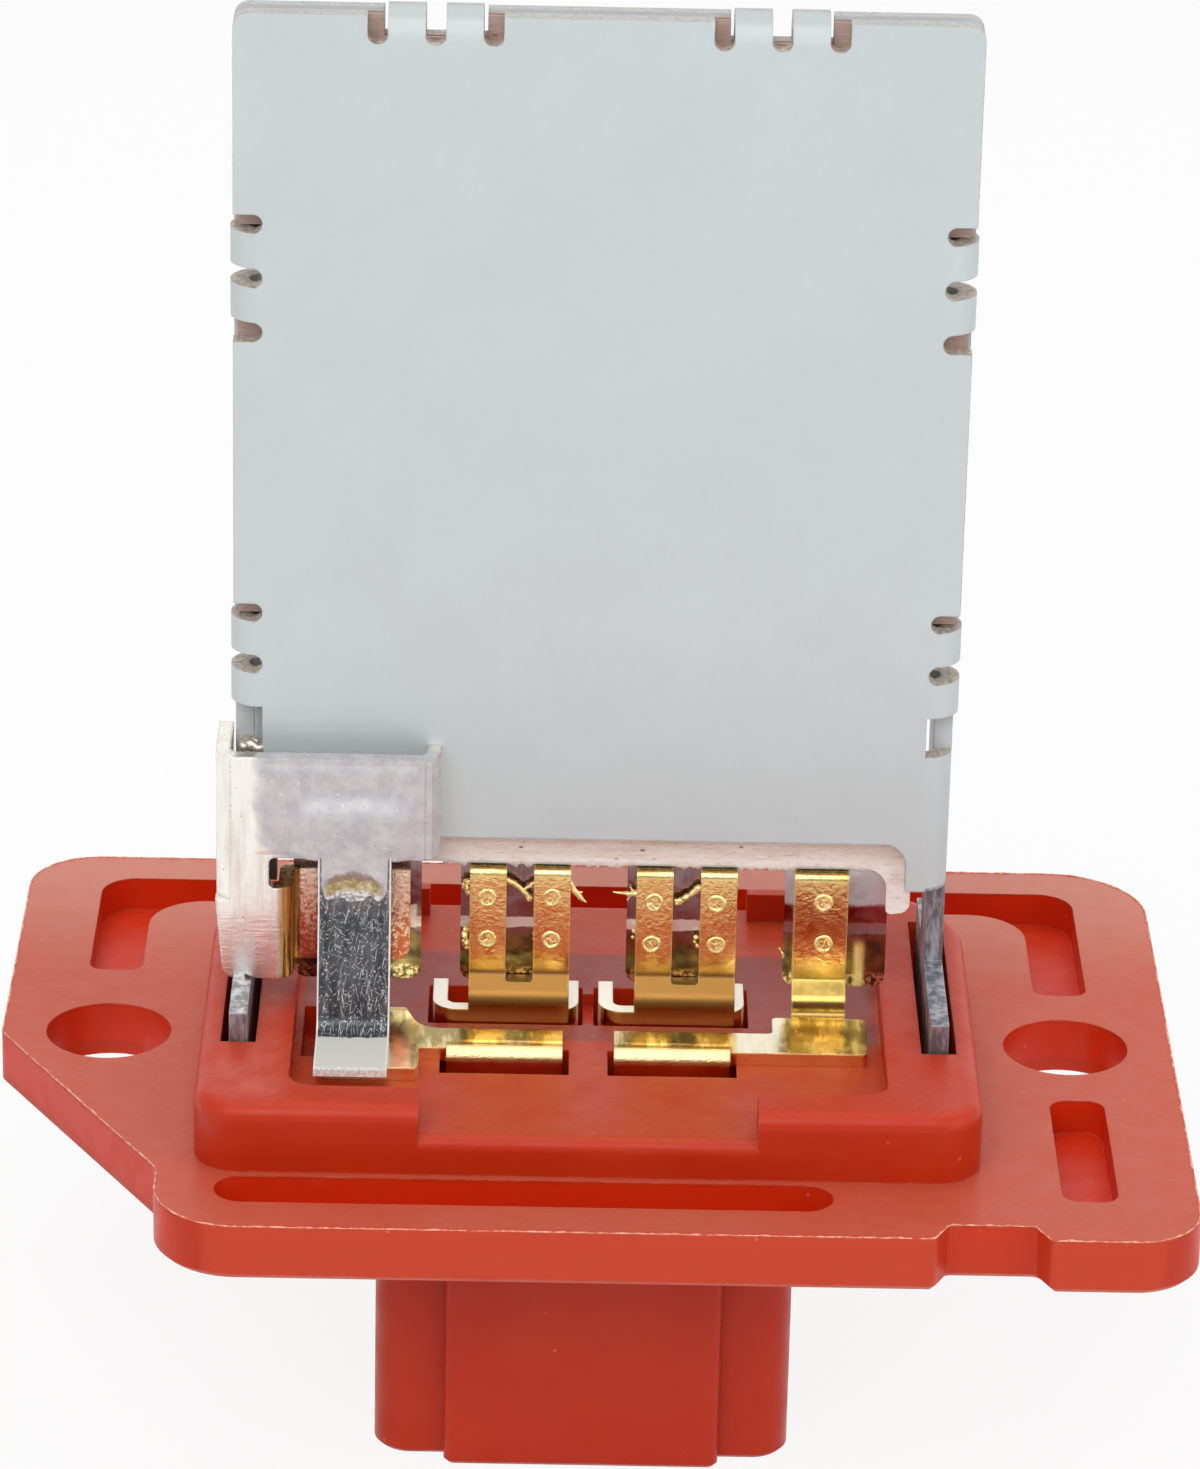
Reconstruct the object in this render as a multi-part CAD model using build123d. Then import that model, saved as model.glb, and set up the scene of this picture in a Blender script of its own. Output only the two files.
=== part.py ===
from build123d import *
import os
from math import hypot

os.makedirs("parts", exist_ok=True)

# Blower motor resistor, in millimetres. The origin lies midway between the two screw holes, on the
# face of the flange that seats against the heater housing. X runs along the hole line, Y away from
# the connector's keyed side, Z up through the housing opening to the heat sink.

# Flange
hole_spacing = 53.0
hole_diameter = 6.9
hole_edge_distance = 5.9
flange_depth = 46.2
flange_thickness = 3.1
flange_edge_chamfer = 0.3
bevel_side_rise = 22.6
bevel_foot_rise = 6.5
bevel_foot_inset = 9.5
corner_back_left = 4.0
corner_back_right = 5.5
corner_front_right = 3.6
corner_front_left = 4.5
edge_recess_x = 21.3
edge_recess_width = 6.2
edge_recess_depth = 1.6
edge_recess_slope = 0.8

# Relief pockets moulded into the flange top
pocket_depth = 2.0
pocket_width = 3.0
moat_side_margin = 4.25
moat_back_margin = 2.9
moat_left_end = 7.8
moat_right_end = 6.6
moat_outer_radius = 2.0
moat_inner_radius = 3.2
moat_end_radius = 0.8
pocket_end_radius = 1.0
groove_left = -19.7
groove_right = 13.0
groove_gap = 0.4
short_pocket_margin = 4.5
short_pocket_back = -6.6

# Raised block that carries the heat sink and the terminals
block_wall = 1.6
block_front = -16.8
block_back = 12.5
block_height = 3.9
block_front_radius = 2.5
block_back_radius = 6.5
block_edge_radius = 0.9
floor_height = 2.2
channel_half_width = 9.0
channel_lip_radius = 0.7
tray_rib = 2.4
tray_front = -14.2
tray_back = 11.0
tray_corner_radius = 1.3

# Sheet thicknesses of the heat sink stack
front_plate_thickness = 1.0
rear_plate_thickness = 0.7
insulator_thickness = 0.2
foil_thickness = 0.2

# Heat sink plates
stack_front = -2.2
plate_width = 38.9
plate_top = 59.4
plate_bottom = 13.1
plate_corner_radius = 0.8
plate_leg_drop = 2.75
plate_leg_corner = 1.2
leg_narrowing = 2.0
rear_plate_left_narrowing = 1.15
insulator_inset = 0.2
insulator_drop = 1.9

# Corner that a stamping tool leaves on the small sheet parts
sheet_corner = 0.3

# Crimp tabs and the notches that free them
notch_width = 1.05
notch_depth = 1.55
tab_pitch = 3.0
tab_bend_radius = 0.6
tab_bend_depth = 1.4
tab_tail = 1.9
tab_clearance = 0.2
top_group_x = 8.95
upper_group_drop = 14.45
lower_group_rise = 9.95
relief_length = 2.3

# Legs folded back from the front plate
leg_inset = 0.05
leg_flange = 2.3
leg_bend_radius = 0.5
leg_back = 3.0
leg_gap = 0.2
foot_front = -8.9
foot_back = 7.5
foot_top = 5.5
foot_bottom = -1.6
foot_corner = 0.8
slot_clearance = 0.45
slot_end_clearance = 0.2

# Resistor foil
foil_margin = 2.9
foil_slot_width = 1.2
foil_bridge = 3.0
tongue_bottom = 4.0
tongue_radius = 0.7
tongue_margin = 0.3
tongue_overhang = 0.5

# Terminals
terminal_thickness = 0.8
blade_width = 6.3
blade_pitch = 9.1
blade_front_row = -7.1
blade_rear_row = -2.3
blade_tip_z = -12.5
blade_taper = 1.0
blade_tip_thickness = 0.35
blade_clearance = 0.1
bend_radius = 0.2
finger_gap = 0.1
finger_joggle_low = 3.6
finger_joggle_high = 4.6
finger_tip_radius = 0.5

# Rear terminals
fork_width = 5.5
fork_slot_width = 1.5
fork_slot_bottom = 4.4
fork_offset = 0.7
cradle_width = 8.0
cradle_back = 1.15
cradle_bend_radius = 0.9
well_width = 8.5
well_front_clearance = 0.15
well_back_clearance = 0.8
well_depth = 2.8
well_rib_drop = 0.8

# Front terminals
arm_width = 2.4
front_slot_margin = 0.35
front_slot_front = 1.5
front_slot_back = 0.8
front_slot_depth = 2.0
pad_front = -10.1
pad_back = -2.6
pad_left_reach = 1.6
pad_right_reach = 3.6
pad_fillet = 1.6
single_finger_width = 2.95
right_plate_reach = 2.55
right_plate_clearance = 0.85
right_plate_setback = 0.4
strip_well_left_reach = 2.8
strip_well_right_reach = 0.8
strip_well_front = -7.3
strip_well_back = -1.0
strip_well_depth = 1.6

# Thermal fuse: bracket, spring strip and solder joint
bracket_thickness = 0.8
bracket_standoff = 2.3
bracket_clearance = 0.15
bracket_width = 12.15
bracket_rise = 5.5
bracket_hem = 0.4
bracket_leg_corner = 2.6
bracket_wall_bottom = 9.2
bracket_wall_back = 0.4
bracket_relief = 0.5
weld_tab_width = 7.1
weld_tab_gap = 0.3
weld_tab_corner = 0.8
strip_thickness = 0.4
strip_width = 3.95
strip_offset = 7.55
strip_overlap = 2.5
strip_bend_drop = 3.1
strip_foot_back = -6.3
strip_foot_front = -11.3
strip_bend_radius = 1.0
solder_edge = 0.9
solder_left_margin = 2.7
solder_rise = 1.4
solder_drop = 2.5
solder_film = 0.12
solder_thickness = 0.2
solder_overlap = 0.7
solder_chamfer = 0.2
solder_corner = 1.0

# Connector shroud under the flange
connector_y = -4.5
shroud_width = 22.7
shroud_depth = 15.5
shroud_wall = 1.7
shroud_height = 16.4
shroud_radius = 2.0
shroud_rim_chamfer = 0.25
key_panel_width = 15.0
key_panel_depth = 1.2
key_panel_radius = 0.6

# How far a cutting tool runs past a face, and how far a full round stays short of a half circle
overshoot = 1.0
shy = 0.02

# Places worked out from the sizes above
flange_bottom = -flange_thickness
flange_width = hole_spacing + 2 * hole_edge_distance
flange_front = -flange_depth / 2
flange_back = flange_depth / 2
moat_outer_x = flange_width / 2 - moat_side_margin
moat_outer_y = flange_back - moat_back_margin
leg_outer_x = plate_width / 2 - leg_inset
leg_inner_x = leg_outer_x - front_plate_thickness
leg_bend_x = leg_inner_x - leg_bend_radius
leg_flat_front = stack_front + front_plate_thickness + leg_bend_radius
plate_leg_inner_x = leg_outer_x - leg_flange
plate_leg_bottom = plate_bottom - plate_leg_drop
upper_group_z = plate_top - upper_group_drop
lower_group_z = plate_bottom + lower_group_rise
relief_top = lower_group_z - tab_pitch + notch_width / 2
relief_bottom = relief_top - relief_length
block_half_width = leg_outer_x + block_wall
tray_half_width = leg_inner_x - tray_rib
front_insulator_front = stack_front + front_plate_thickness
foil_front = front_insulator_front + insulator_thickness
foil_back = foil_front + foil_thickness
rear_plate_front = foil_back + insulator_thickness
stack_back = rear_plate_front + rear_plate_thickness
insulator_bottom = plate_bottom - insulator_drop
tab_width = tab_pitch - notch_width
tab_recess_half = tab_pitch - notch_width / 2 + tab_clearance
terminal_top = floor_height + terminal_thickness
finger_top = insulator_bottom - finger_gap
finger_back = foil_front
finger_front = finger_back - terminal_thickness
bracket_front = stack_front - bracket_standoff
bracket_back = bracket_front + bracket_thickness
cradle_front = blade_rear_row - terminal_thickness / 2
arm_front = blade_front_row - terminal_thickness / 2
arm_back = arm_front + arm_width
lip_back = arm_back - terminal_thickness
cradle_bottom = floor_height - well_depth
right_plate_right = tray_half_width - right_plate_clearance
single_finger_x = right_plate_right - right_plate_reach
right_plate_left = single_finger_x - right_plate_reach
right_plate_back = cradle_front - right_plate_setback
bracket_left = -leg_outer_x - bracket_clearance - bracket_thickness
bracket_right = bracket_left + bracket_width
bracket_fold_x = bracket_clearance + bracket_thickness - plate_leg_inner_x
bracket_relief_left = bracket_fold_x - bracket_thickness - bracket_relief
bracket_top = plate_bottom + bracket_rise
bracket_bottom = plate_bottom - bracket_hem
weld_tab_right = bracket_fold_x - bracket_thickness + weld_tab_width
weld_tab_top = insulator_bottom - weld_tab_gap
strip_x = bracket_left + strip_offset
strip_left = strip_x - strip_width / 2
strip_right = strip_x + strip_width / 2
strip_top = bracket_bottom + strip_overlap
strip_straight = bracket_bottom - strip_bend_drop
pad_left = strip_x - pad_left_reach
pad_right = strip_x + pad_right_reach
foil_half_width = plate_width / 2 - foil_margin
foil_top = plate_top - foil_margin
foil_bottom = plate_bottom + insulator_thickness
rear_tongue_left = -blade_pitch / 2 + fork_offset
rear_tongue_right = blade_pitch / 2 + fork_offset


def outline(points, radii):
    """Closed face through the points, each corner rounded by its own radius."""
    return make_face(FilletPolyline(*points, radius=radii, close=True))


def flat(points, radii, bottom, top):
    """Outline in X and Y, extruded between two heights."""
    return extrude(Plane.XY.offset(bottom) * outline(points, radii), amount=top - bottom)


def upright(points, radii, front, back):
    """Outline in X and Z, extruded between two Y places."""
    return extrude(Plane.XZ.offset(-front) * outline(points, radii), amount=front - back)


def sideways(points, radii, left, right):
    """Outline in Y and Z, extruded between two X places."""
    return extrude(Plane.YZ.offset(left) * outline(points, radii), amount=right - left)


def box(left, right, front, back, bottom, top, radius=0.0):
    """Block between six places, its upright edges rounded by the radius."""
    corners = [(left, front), (right, front), (right, back), (left, back)]
    return flat(corners, [radius] * len(corners), bottom, top)


def ribbon(path, thickness, inner_radius):
    """Outline points and radii of a bent sheet whose middle line follows the path."""
    half = thickness / 2
    steps = [(b[0] - a[0], b[1] - a[1]) for a, b in zip(path, path[1:])]
    units = [(u / hypot(u, v), v / hypot(u, v)) for u, v in steps]
    normals = [(-v, u) for u, v in units]
    left_side, right_side, left_radii, right_radii = [], [], [], []
    for i, (a, b) in enumerate(path):
        before = normals[max(i - 1, 0)]
        after = normals[min(i, len(normals) - 1)]
        share = half / (1 + before[0] * after[0] + before[1] * after[1])
        shift = ((before[0] + after[0]) * share, (before[1] + after[1]) * share)
        turn = before[0] * after[1] - before[1] * after[0]
        at_end = i in (0, len(path) - 1)
        left_side.append((a + shift[0], b + shift[1]))
        right_side.append((a - shift[0], b - shift[1]))
        left_radii.append(0 if at_end else inner_radius + (thickness if turn < 0 else 0))
        right_radii.append(0 if at_end else inner_radius + (thickness if turn > 0 else 0))
    return left_side + right_side[::-1], left_radii + right_radii[::-1]


def flange():
    """Mounting flange with its bevelled corner, edge recess and relief pockets."""
    right, front, back = flange_width / 2, flange_front, flange_back
    bevel_x = bevel_foot_inset - right
    recess_left = edge_recess_x - edge_recess_width / 2
    recess_right = edge_recess_x + edge_recess_width / 2
    points = [
        (-right, back),
        (right, back),
        (right, front),
        (recess_right, front),
        (recess_right - edge_recess_slope, front + edge_recess_depth),
        (recess_left + edge_recess_slope, front + edge_recess_depth),
        (recess_left, front),
        (bevel_x, front),
        (bevel_x, front + bevel_foot_rise),
        (-right, front + bevel_side_rise),
    ]
    recess_radius = edge_recess_slope / 2
    radii = [corner_back_left, corner_back_right, corner_front_right]
    radii += [recess_radius] * 4
    radii += [corner_front_left, pocket_width / 2, pocket_width / 2]
    plate = flat(points, radii, flange_bottom, 0)
    plate = chamfer(plate.faces().sort_by(Axis.Z)[0].edges(), flange_edge_chamfer)
    for pocket in relief_pockets():
        plate -= pocket
    return plate


def relief_pockets():
    """U-shaped moat behind the block, long groove before it and short pocket at the right."""
    inner_x = moat_outer_x - pocket_width
    inner_y = moat_outer_y - pocket_width
    moat_points = [
        (-moat_outer_x, moat_left_end),
        (-moat_outer_x, moat_outer_y),
        (moat_outer_x, moat_outer_y),
        (moat_outer_x, moat_right_end),
        (inner_x, moat_right_end),
        (inner_x, inner_y),
        (-inner_x, inner_y),
        (-inner_x, moat_left_end),
    ]
    moat_radii = [moat_end_radius, moat_outer_radius, moat_outer_radius, moat_end_radius]
    moat_radii += [moat_end_radius, moat_inner_radius, moat_inner_radius, moat_end_radius]
    groove_back = block_front - groove_gap
    groove_front = groove_back - pocket_width
    round_end = pocket_width / 2 - shy
    moat = flat(moat_points, moat_radii, -pocket_depth, overshoot)
    ends = groove_left, groove_right, groove_front, groove_back
    groove = box(*ends, -pocket_depth, overshoot, round_end)
    short = box(
        moat_outer_x - pocket_width,
        moat_outer_x,
        flange_front + short_pocket_margin,
        short_pocket_back,
        -pocket_depth,
        overshoot,
        pocket_end_radius,
    )
    return moat, groove, short


def block():
    """Raised block with a low channel through its middle and a tray inside each C-shaped wall."""
    side, front, back = block_half_width, block_front, block_back
    points = [(-side, front), (side, front), (side, back), (-side, back)]
    radii = [block_front_radius, block_front_radius, block_back_radius, block_back_radius]
    solid = flat(points, radii, flange_bottom / 2, block_height)
    solid = fillet(solid.faces().sort_by(Axis.Z)[-1].edges(), block_edge_radius)
    above = block_height + overshoot
    ahead, beyond, below = front - overshoot, back + overshoot, floor_height - overshoot
    channel_points = [
        (ahead, above),
        (beyond, above),
        (beyond, floor_height),
        (front, floor_height),
        (front, below),
        (ahead, below),
    ]
    channel_radii = [0, 0, 0, channel_lip_radius, 0, 0]
    solid -= sideways(channel_points, channel_radii, -channel_half_width, channel_half_width)
    tray = tray_half_width
    solid -= box(-tray, tray, tray_front, tray_back, floor_height, above, tray_corner_radius)
    return solid


def slots():
    """Everything sunk into the block: leg slots, terminal wells and blade slots."""
    cuts = []
    above = block_height + overshoot
    below = flange_bottom - overshoot
    half_gap = slot_clearance
    end = slot_end_clearance
    for sign in (-1, 1):
        near, far = sorted((sign * (leg_inner_x - half_gap), sign * (leg_outer_x + half_gap)))
        cuts.append(box(near, far, foot_front - end, foot_back + end, foot_bottom, above))
    for x in (-blade_pitch / 2, blade_pitch / 2):
        well_front = cradle_front - well_front_clearance
        well_back = cradle_back + well_back_clearance
        half = well_width / 2
        cuts.append(box(x - half, x + half, well_front, well_back, cradle_bottom, above))
        half = blade_width / 2 + front_slot_margin
        face = blade_front_row - terminal_thickness / 2
        slot_back = blade_front_row + terminal_thickness / 2 + front_slot_back
        slot_low = floor_height - front_slot_depth
        cuts.append(box(x - half, x + half, face - front_slot_front, slot_back, slot_low, above))
        for row in (blade_front_row, blade_rear_row):
            half = blade_width / 2 + blade_clearance
            depth = terminal_thickness / 2 + blade_clearance
            cuts.append(box(x - half, x + half, row - depth, row + depth, below, above))
    rib_left, rib_right = (well_width - blade_pitch) / 2, (blade_pitch - well_width) / 2
    rib_front, rib_back = cradle_front, cradle_back
    rib_top = floor_height - well_rib_drop
    cuts.append(box(rib_left, rib_right, rib_front, rib_back, rib_top, above))
    strip_well_bottom = floor_height - strip_well_depth
    cuts.append(
        box(
            strip_x - strip_well_left_reach,
            strip_x + strip_well_right_reach,
            strip_well_front,
            strip_well_back,
            strip_well_bottom,
            above,
        )
    )
    return cuts


def shroud():
    """Four-way connector shroud with a raised keying panel on its front wall."""
    half_x, half_y = shroud_width / 2, shroud_depth / 2
    rim = flange_bottom - shroud_height
    front, back = connector_y - half_y, connector_y + half_y
    tube = box(-half_x, half_x, front, back, rim, flange_bottom, shroud_radius)
    key_half = key_panel_width / 2
    key_front = front - key_panel_depth
    key_back = front + shroud_wall
    tube += box(-key_half, key_half, key_front, key_back, rim, flange_bottom, key_panel_radius)
    tube = chamfer(tube.faces().sort_by(Axis.Z)[0].edges(), shroud_rim_chamfer)
    wall = shroud_wall
    return tube - box(
        wall - half_x,
        half_x - wall,
        front + wall,
        back - wall,
        rim - overshoot,
        flange_bottom,
        shroud_radius - wall / 2,
    )


def screw_holes():
    """Two holes through the flange, far enough up to clear the side of the block."""
    height = flange_thickness + block_height + 2 * overshoot
    drill = Cylinder(hole_diameter / 2, height)
    middle = (flange_bottom + block_height) / 2
    return [Pos(x, 0, middle) * drill for x in (-hole_spacing / 2, hole_spacing / 2)]


def base_housing():
    """One moulding: flange, raised block and connector shroud."""
    body = flange() + block() + shroud()
    for cut in slots() + screw_holes():
        body -= cut
    return body


def crimp_tab(center):
    """Tab folded over the stack, drawn in Y and a height that starts at the plate's edge."""
    half = front_plate_thickness / 2
    crest = tab_bend_radius + half - tab_bend_depth
    path = [
        (stack_front + half, -tab_bend_depth - half),
        (stack_front + half, crest),
        (stack_back + half, crest),
        (stack_back + half, -tab_bend_depth - tab_tail),
    ]
    points, radii = ribbon(path, front_plate_thickness, tab_bend_radius)
    return sideways(points, radii, center - tab_width / 2, center + tab_width / 2)


def tab_groups():
    """Place of each group of two tabs on the plate's top and side edges."""
    side = plate_width / 2
    groups = [Pos(x, 0, plate_top) for x in (-top_group_x, top_group_x)]
    for z in (upper_group_z, lower_group_z):
        groups.append(Pos(side, 0, z) * Rot(0, 90, 0))
        groups.append(Pos(-side, 0, z) * Rot(0, -90, 0))
    return groups


def notch_cut():
    """One round-bottomed notch, open at the plate's edge."""
    half = notch_width / 2
    outside, root = overshoot, -notch_depth
    points = [(-half, outside), (-half, root), (half, root), (half, outside)]
    radii = [0, half - shy, half - shy, 0]
    back = stack_front + front_plate_thickness
    return upright(points, radii, stack_front - overshoot, back + overshoot)


def edge_clearance(center, half, depth, front, back):
    """Straight clearance in a plate's edge, down to the depth and half as wide each way."""
    left, right, outside = center - half, center + half, overshoot
    points = [(left, outside), (left, -depth), (right, -depth), (right, outside)]
    return upright(points, [0, 0, 0, 0], front - overshoot, back + overshoot)


def plate_outline(half_width, bottom, top, lower_left, lower_right, radius):
    """Stack sheet outline: full width above the legs and narrower between them."""
    step = relief_top
    points = [
        (-half_width, top),
        (half_width, top),
        (half_width, step),
        (lower_right, step),
        (lower_right, bottom),
        (lower_left, bottom),
        (lower_left, step),
        (-half_width, step),
    ]
    return points, [radius, radius, 0, leg_gap, 0, 0, leg_gap, 0]


def leg(sign):
    """Side of the front plate bent back by a right angle, with its T-shaped foot."""
    bend = [
        (plate_leg_inner_x, stack_front + front_plate_thickness / 2),
        (leg_outer_x - front_plate_thickness / 2, stack_front + front_plate_thickness / 2),
        (leg_outer_x - front_plate_thickness / 2, leg_flat_front + overshoot),
    ]
    points, radii = ribbon(bend, front_plate_thickness, leg_bend_radius)
    corner = flat(points, radii, plate_leg_bottom, relief_bottom)
    wall_points = [
        (leg_flat_front, relief_top - leg_gap),
        (leg_back, relief_top - leg_gap),
        (leg_back, foot_top),
        (foot_back, foot_top),
        (foot_back, foot_bottom),
        (foot_front, foot_bottom),
        (foot_front, foot_top),
        (leg_flat_front, foot_top),
    ]
    r = foot_corner
    wall_radii = [0, r, r, 0, r, r, 0, 0]
    wall = sideways(wall_points, wall_radii, leg_inner_x, leg_outer_x)
    solid = corner + wall
    return solid if sign > 0 else mirror(solid, about=Plane.YZ)


def front_heat_plate():
    """Front sheet with its crimp tabs, relief notches and the two folded legs."""
    half, inner, bend = plate_width / 2, plate_leg_inner_x, leg_bend_x
    points = [
        (-half, plate_top),
        (half, plate_top),
        (half, relief_top),
        (bend, relief_top),
        (bend, plate_leg_bottom),
        (inner, plate_leg_bottom),
        (inner, plate_bottom),
        (-inner, plate_bottom),
        (-inner, plate_leg_bottom),
        (-bend, plate_leg_bottom),
        (-bend, relief_top),
        (-half, relief_top),
    ]
    top_r, leg_r = plate_corner_radius, plate_leg_corner
    radii = [top_r, top_r, 0, 0, 0, 0, leg_r, leg_r, 0, 0, 0, 0]
    plate = upright(points, radii, stack_front, stack_front + front_plate_thickness)
    back = stack_front + front_plate_thickness
    for place in tab_groups():
        for center in (-tab_pitch, 0, tab_pitch):
            plate -= place * Pos(center, 0, 0) * notch_cut()
        for center in (-tab_pitch / 2, tab_pitch / 2):
            plate -= place * edge_clearance(
                center, tab_width / 2, tab_bend_depth, stack_front, back
            )
            plate += place * crimp_tab(center)
    return plate + leg(1) + leg(-1)


def stack_sheet(inset, bottom, front, thickness, left_narrowing=leg_narrowing):
    """Sheet of the stack behind the front plate, cleared where the tabs pass."""
    half = plate_width / 2
    lower_left, lower_right = left_narrowing - half, half - leg_narrowing
    points, radii = plate_outline(
        half - inset, bottom, plate_top - inset, lower_left, lower_right, plate_corner_radius
    )
    sheet = upright(points, radii, front, front + thickness)
    opening = edge_clearance(0, tab_recess_half, tab_bend_depth, front, front + thickness)
    for place in tab_groups():
        sheet -= place * opening
    return sheet


def insulator(front):
    """Mica sheet that stands proud below the plates, with one ear at its lower right corner."""
    bottom = insulator_bottom
    lower_half = plate_width / 2 - leg_narrowing
    sheet = stack_sheet(insulator_inset, bottom, front, insulator_thickness)
    ear_bottom = bottom - plate_leg_drop
    ear_inner = plate_leg_inner_x - insulator_drop / 2
    root, inside = ear_inner - 2 * plate_leg_corner, bottom + overshoot
    ear = [
        (root, inside),
        (root, bottom),
        (ear_inner, bottom),
        (ear_inner, ear_bottom),
        (lower_half, ear_bottom + insulator_inset),
        (lower_half, inside),
    ]
    radii = [0, 0, plate_leg_corner, sheet_corner, 2 * sheet_corner, 0]
    return sheet + upright(ear, radii, front, front + insulator_thickness)


def resistor_foil():
    """Stamped resistance foil: a meander between the insulators with four weld tongues."""
    half, top, bottom = foil_half_width, foil_top, foil_bottom
    body = upright(
        [(-half, top), (half, top), (half, bottom), (-half, bottom)],
        [plate_corner_radius] * 4,
        foil_front,
        foil_back,
    )
    outer_reach = half - tongue_margin
    finger_left = single_finger_x - single_finger_width / 2 - tongue_overhang
    fork_left, fork_right = -fork_width / 2 - tongue_overhang, fork_width / 2
    spans = [
        (-outer_reach, weld_tab_right + 2 * tongue_margin),
        (rear_tongue_left + fork_left, rear_tongue_left + fork_right),
        (rear_tongue_right + fork_left, rear_tongue_right + fork_right),
        (finger_left, outer_reach),
    ]
    r = tongue_radius
    for left, right in spans:
        inside = bottom + overshoot
        corners = [(left, inside), (right, inside), (right, tongue_bottom), (left, tongue_bottom)]
        body += upright(corners, [0, 0, r, r], foil_front, foil_back)
    gaps = [(a[1] + b[0]) / 2 for a, b in zip(spans, spans[1:])]
    edges = [-half] + gaps + [half]
    middles = [(a + b) / 2 for a, b in zip(edges, edges[1:])]
    for x in gaps:
        body -= foil_slot(x, bottom - overshoot, top - foil_bridge)
    for x in middles:
        body -= foil_slot(x, bottom + foil_bridge, top + overshoot)
    return body


def foil_slot(x, low, high):
    """Slot that turns the foil's current path back on itself."""
    half = foil_slot_width / 2
    corners = [(x - half, low), (x + half, low), (x + half, high), (x - half, high)]
    return upright(corners, [0] * 4, foil_front - overshoot, foil_back + overshoot)


def blade(x, row):
    """Flat plug blade below the flange, with its tapered tip."""
    half, low = blade_width / 2, blade_tip_z
    top = floor_height - terminal_thickness
    front, back = row - terminal_thickness / 2, row + terminal_thickness / 2
    face = [
        (x - half, top),
        (x + half, top),
        (x + half, low + blade_taper),
        (x + half - blade_taper, low),
        (x - half + blade_taper, low),
        (x - half, low + blade_taper),
    ]
    body = upright(face, [0] * 6, front, back)
    tip = blade_tip_thickness / 2
    edge = [
        (front, top),
        (front, low + 2 * blade_taper),
        (row - tip, low),
        (row + tip, low),
        (back, low + 2 * blade_taper),
        (back, top),
    ]
    return body & sideways(edge, [0] * 6, x - half, x + half)


def finger(x, width, lead):
    """Upright finger that continues the lead path, with a joggle that brings it onto the foil."""
    half = terminal_thickness / 2
    path = lead + [
        (cradle_front + half, finger_joggle_low),
        (finger_back - half, finger_joggle_high),
        (finger_back - half, finger_top),
    ]
    points, radii = ribbon(path, terminal_thickness, bend_radius)
    tip = len(path)
    radii[tip - 1] = finger_tip_radius
    return sideways(points, radii, x - width / 2, x + width / 2)


def rear_terminal(x):
    """Rear blade terminal: a three-sided cradle in its well and a two-pronged fork."""
    half, t = cradle_width / 2, terminal_thickness
    path = [
        (x - half + t / 2, cradle_back),
        (x - half + t / 2, cradle_front + t / 2),
        (x + half - t / 2, cradle_front + t / 2),
        (x + half - t / 2, cradle_back),
    ]
    points, radii = ribbon(path, t, cradle_bend_radius - t / 2)
    body = flat(points, radii, cradle_bottom, terminal_top)
    body += blade(x, blade_rear_row)
    fork_x = x + fork_offset
    body += finger(fork_x, fork_width, [(cradle_front + t / 2, floor_height)])
    half_slot = fork_slot_width / 2
    above = finger_top + overshoot
    gap = [
        (fork_x - half_slot, fork_slot_bottom),
        (fork_x + half_slot, fork_slot_bottom),
        (fork_x + half_slot, above),
        (fork_x - half_slot, above),
    ]
    radii = [bend_radius, bend_radius, 0, 0]
    return body - upright(gap, radii, finger_front - overshoot, finger_back + overshoot)


def front_blade(x):
    """Front blade bent down from a lip that lies on the floor."""
    t = terminal_thickness
    path = [
        (arm_back, terminal_top - t / 2),
        (blade_front_row, terminal_top - t / 2),
        (blade_front_row, floor_height - 2 * t),
    ]
    points, radii = ribbon(path, t, bend_radius)
    half = blade_width / 2
    return sideways(points, radii, x - half, x + half) + blade(x, blade_front_row)


def front_terminal_left():
    """Terminal with a long arm to the pad that carries the fuse strip."""
    x = -blade_pitch / 2
    end = x - blade_width / 2
    points = [
        (pad_left, pad_front),
        (pad_right, pad_front),
        (pad_right, arm_front),
        (end, arm_front),
        (end, lip_back),
        (x, lip_back),
        (x, arm_back),
        (pad_right, arm_back),
        (pad_right - pad_fillet / 2, pad_back),
        (pad_left, pad_back),
    ]
    r = sheet_corner
    radii = [r, r, r, 0, 0, 0, 0, pad_fillet, r, r]
    return flat(points, radii, floor_height, terminal_top) + front_blade(x)


def front_terminal_right():
    """Terminal with an arm to a single finger for the last foil tongue."""
    x = blade_pitch / 2
    end = x + blade_width / 2
    points = [
        (x, lip_back),
        (end, lip_back),
        (end, arm_front),
        (right_plate_right, arm_front),
        (right_plate_right, right_plate_back),
        (right_plate_left, right_plate_back),
        (right_plate_left, arm_back),
        (x, arm_back),
    ]
    r = sheet_corner
    body = flat(points, [0, 0, 0, r, r, r, r, 0], floor_height, terminal_top) + front_blade(x)
    t = terminal_thickness
    lead = [
        (right_plate_back - 2 * t, floor_height + t / 2),
        (cradle_front + t / 2, floor_height + t / 2),
    ]
    return body + finger(single_finger_x, single_finger_width, lead)


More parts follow.
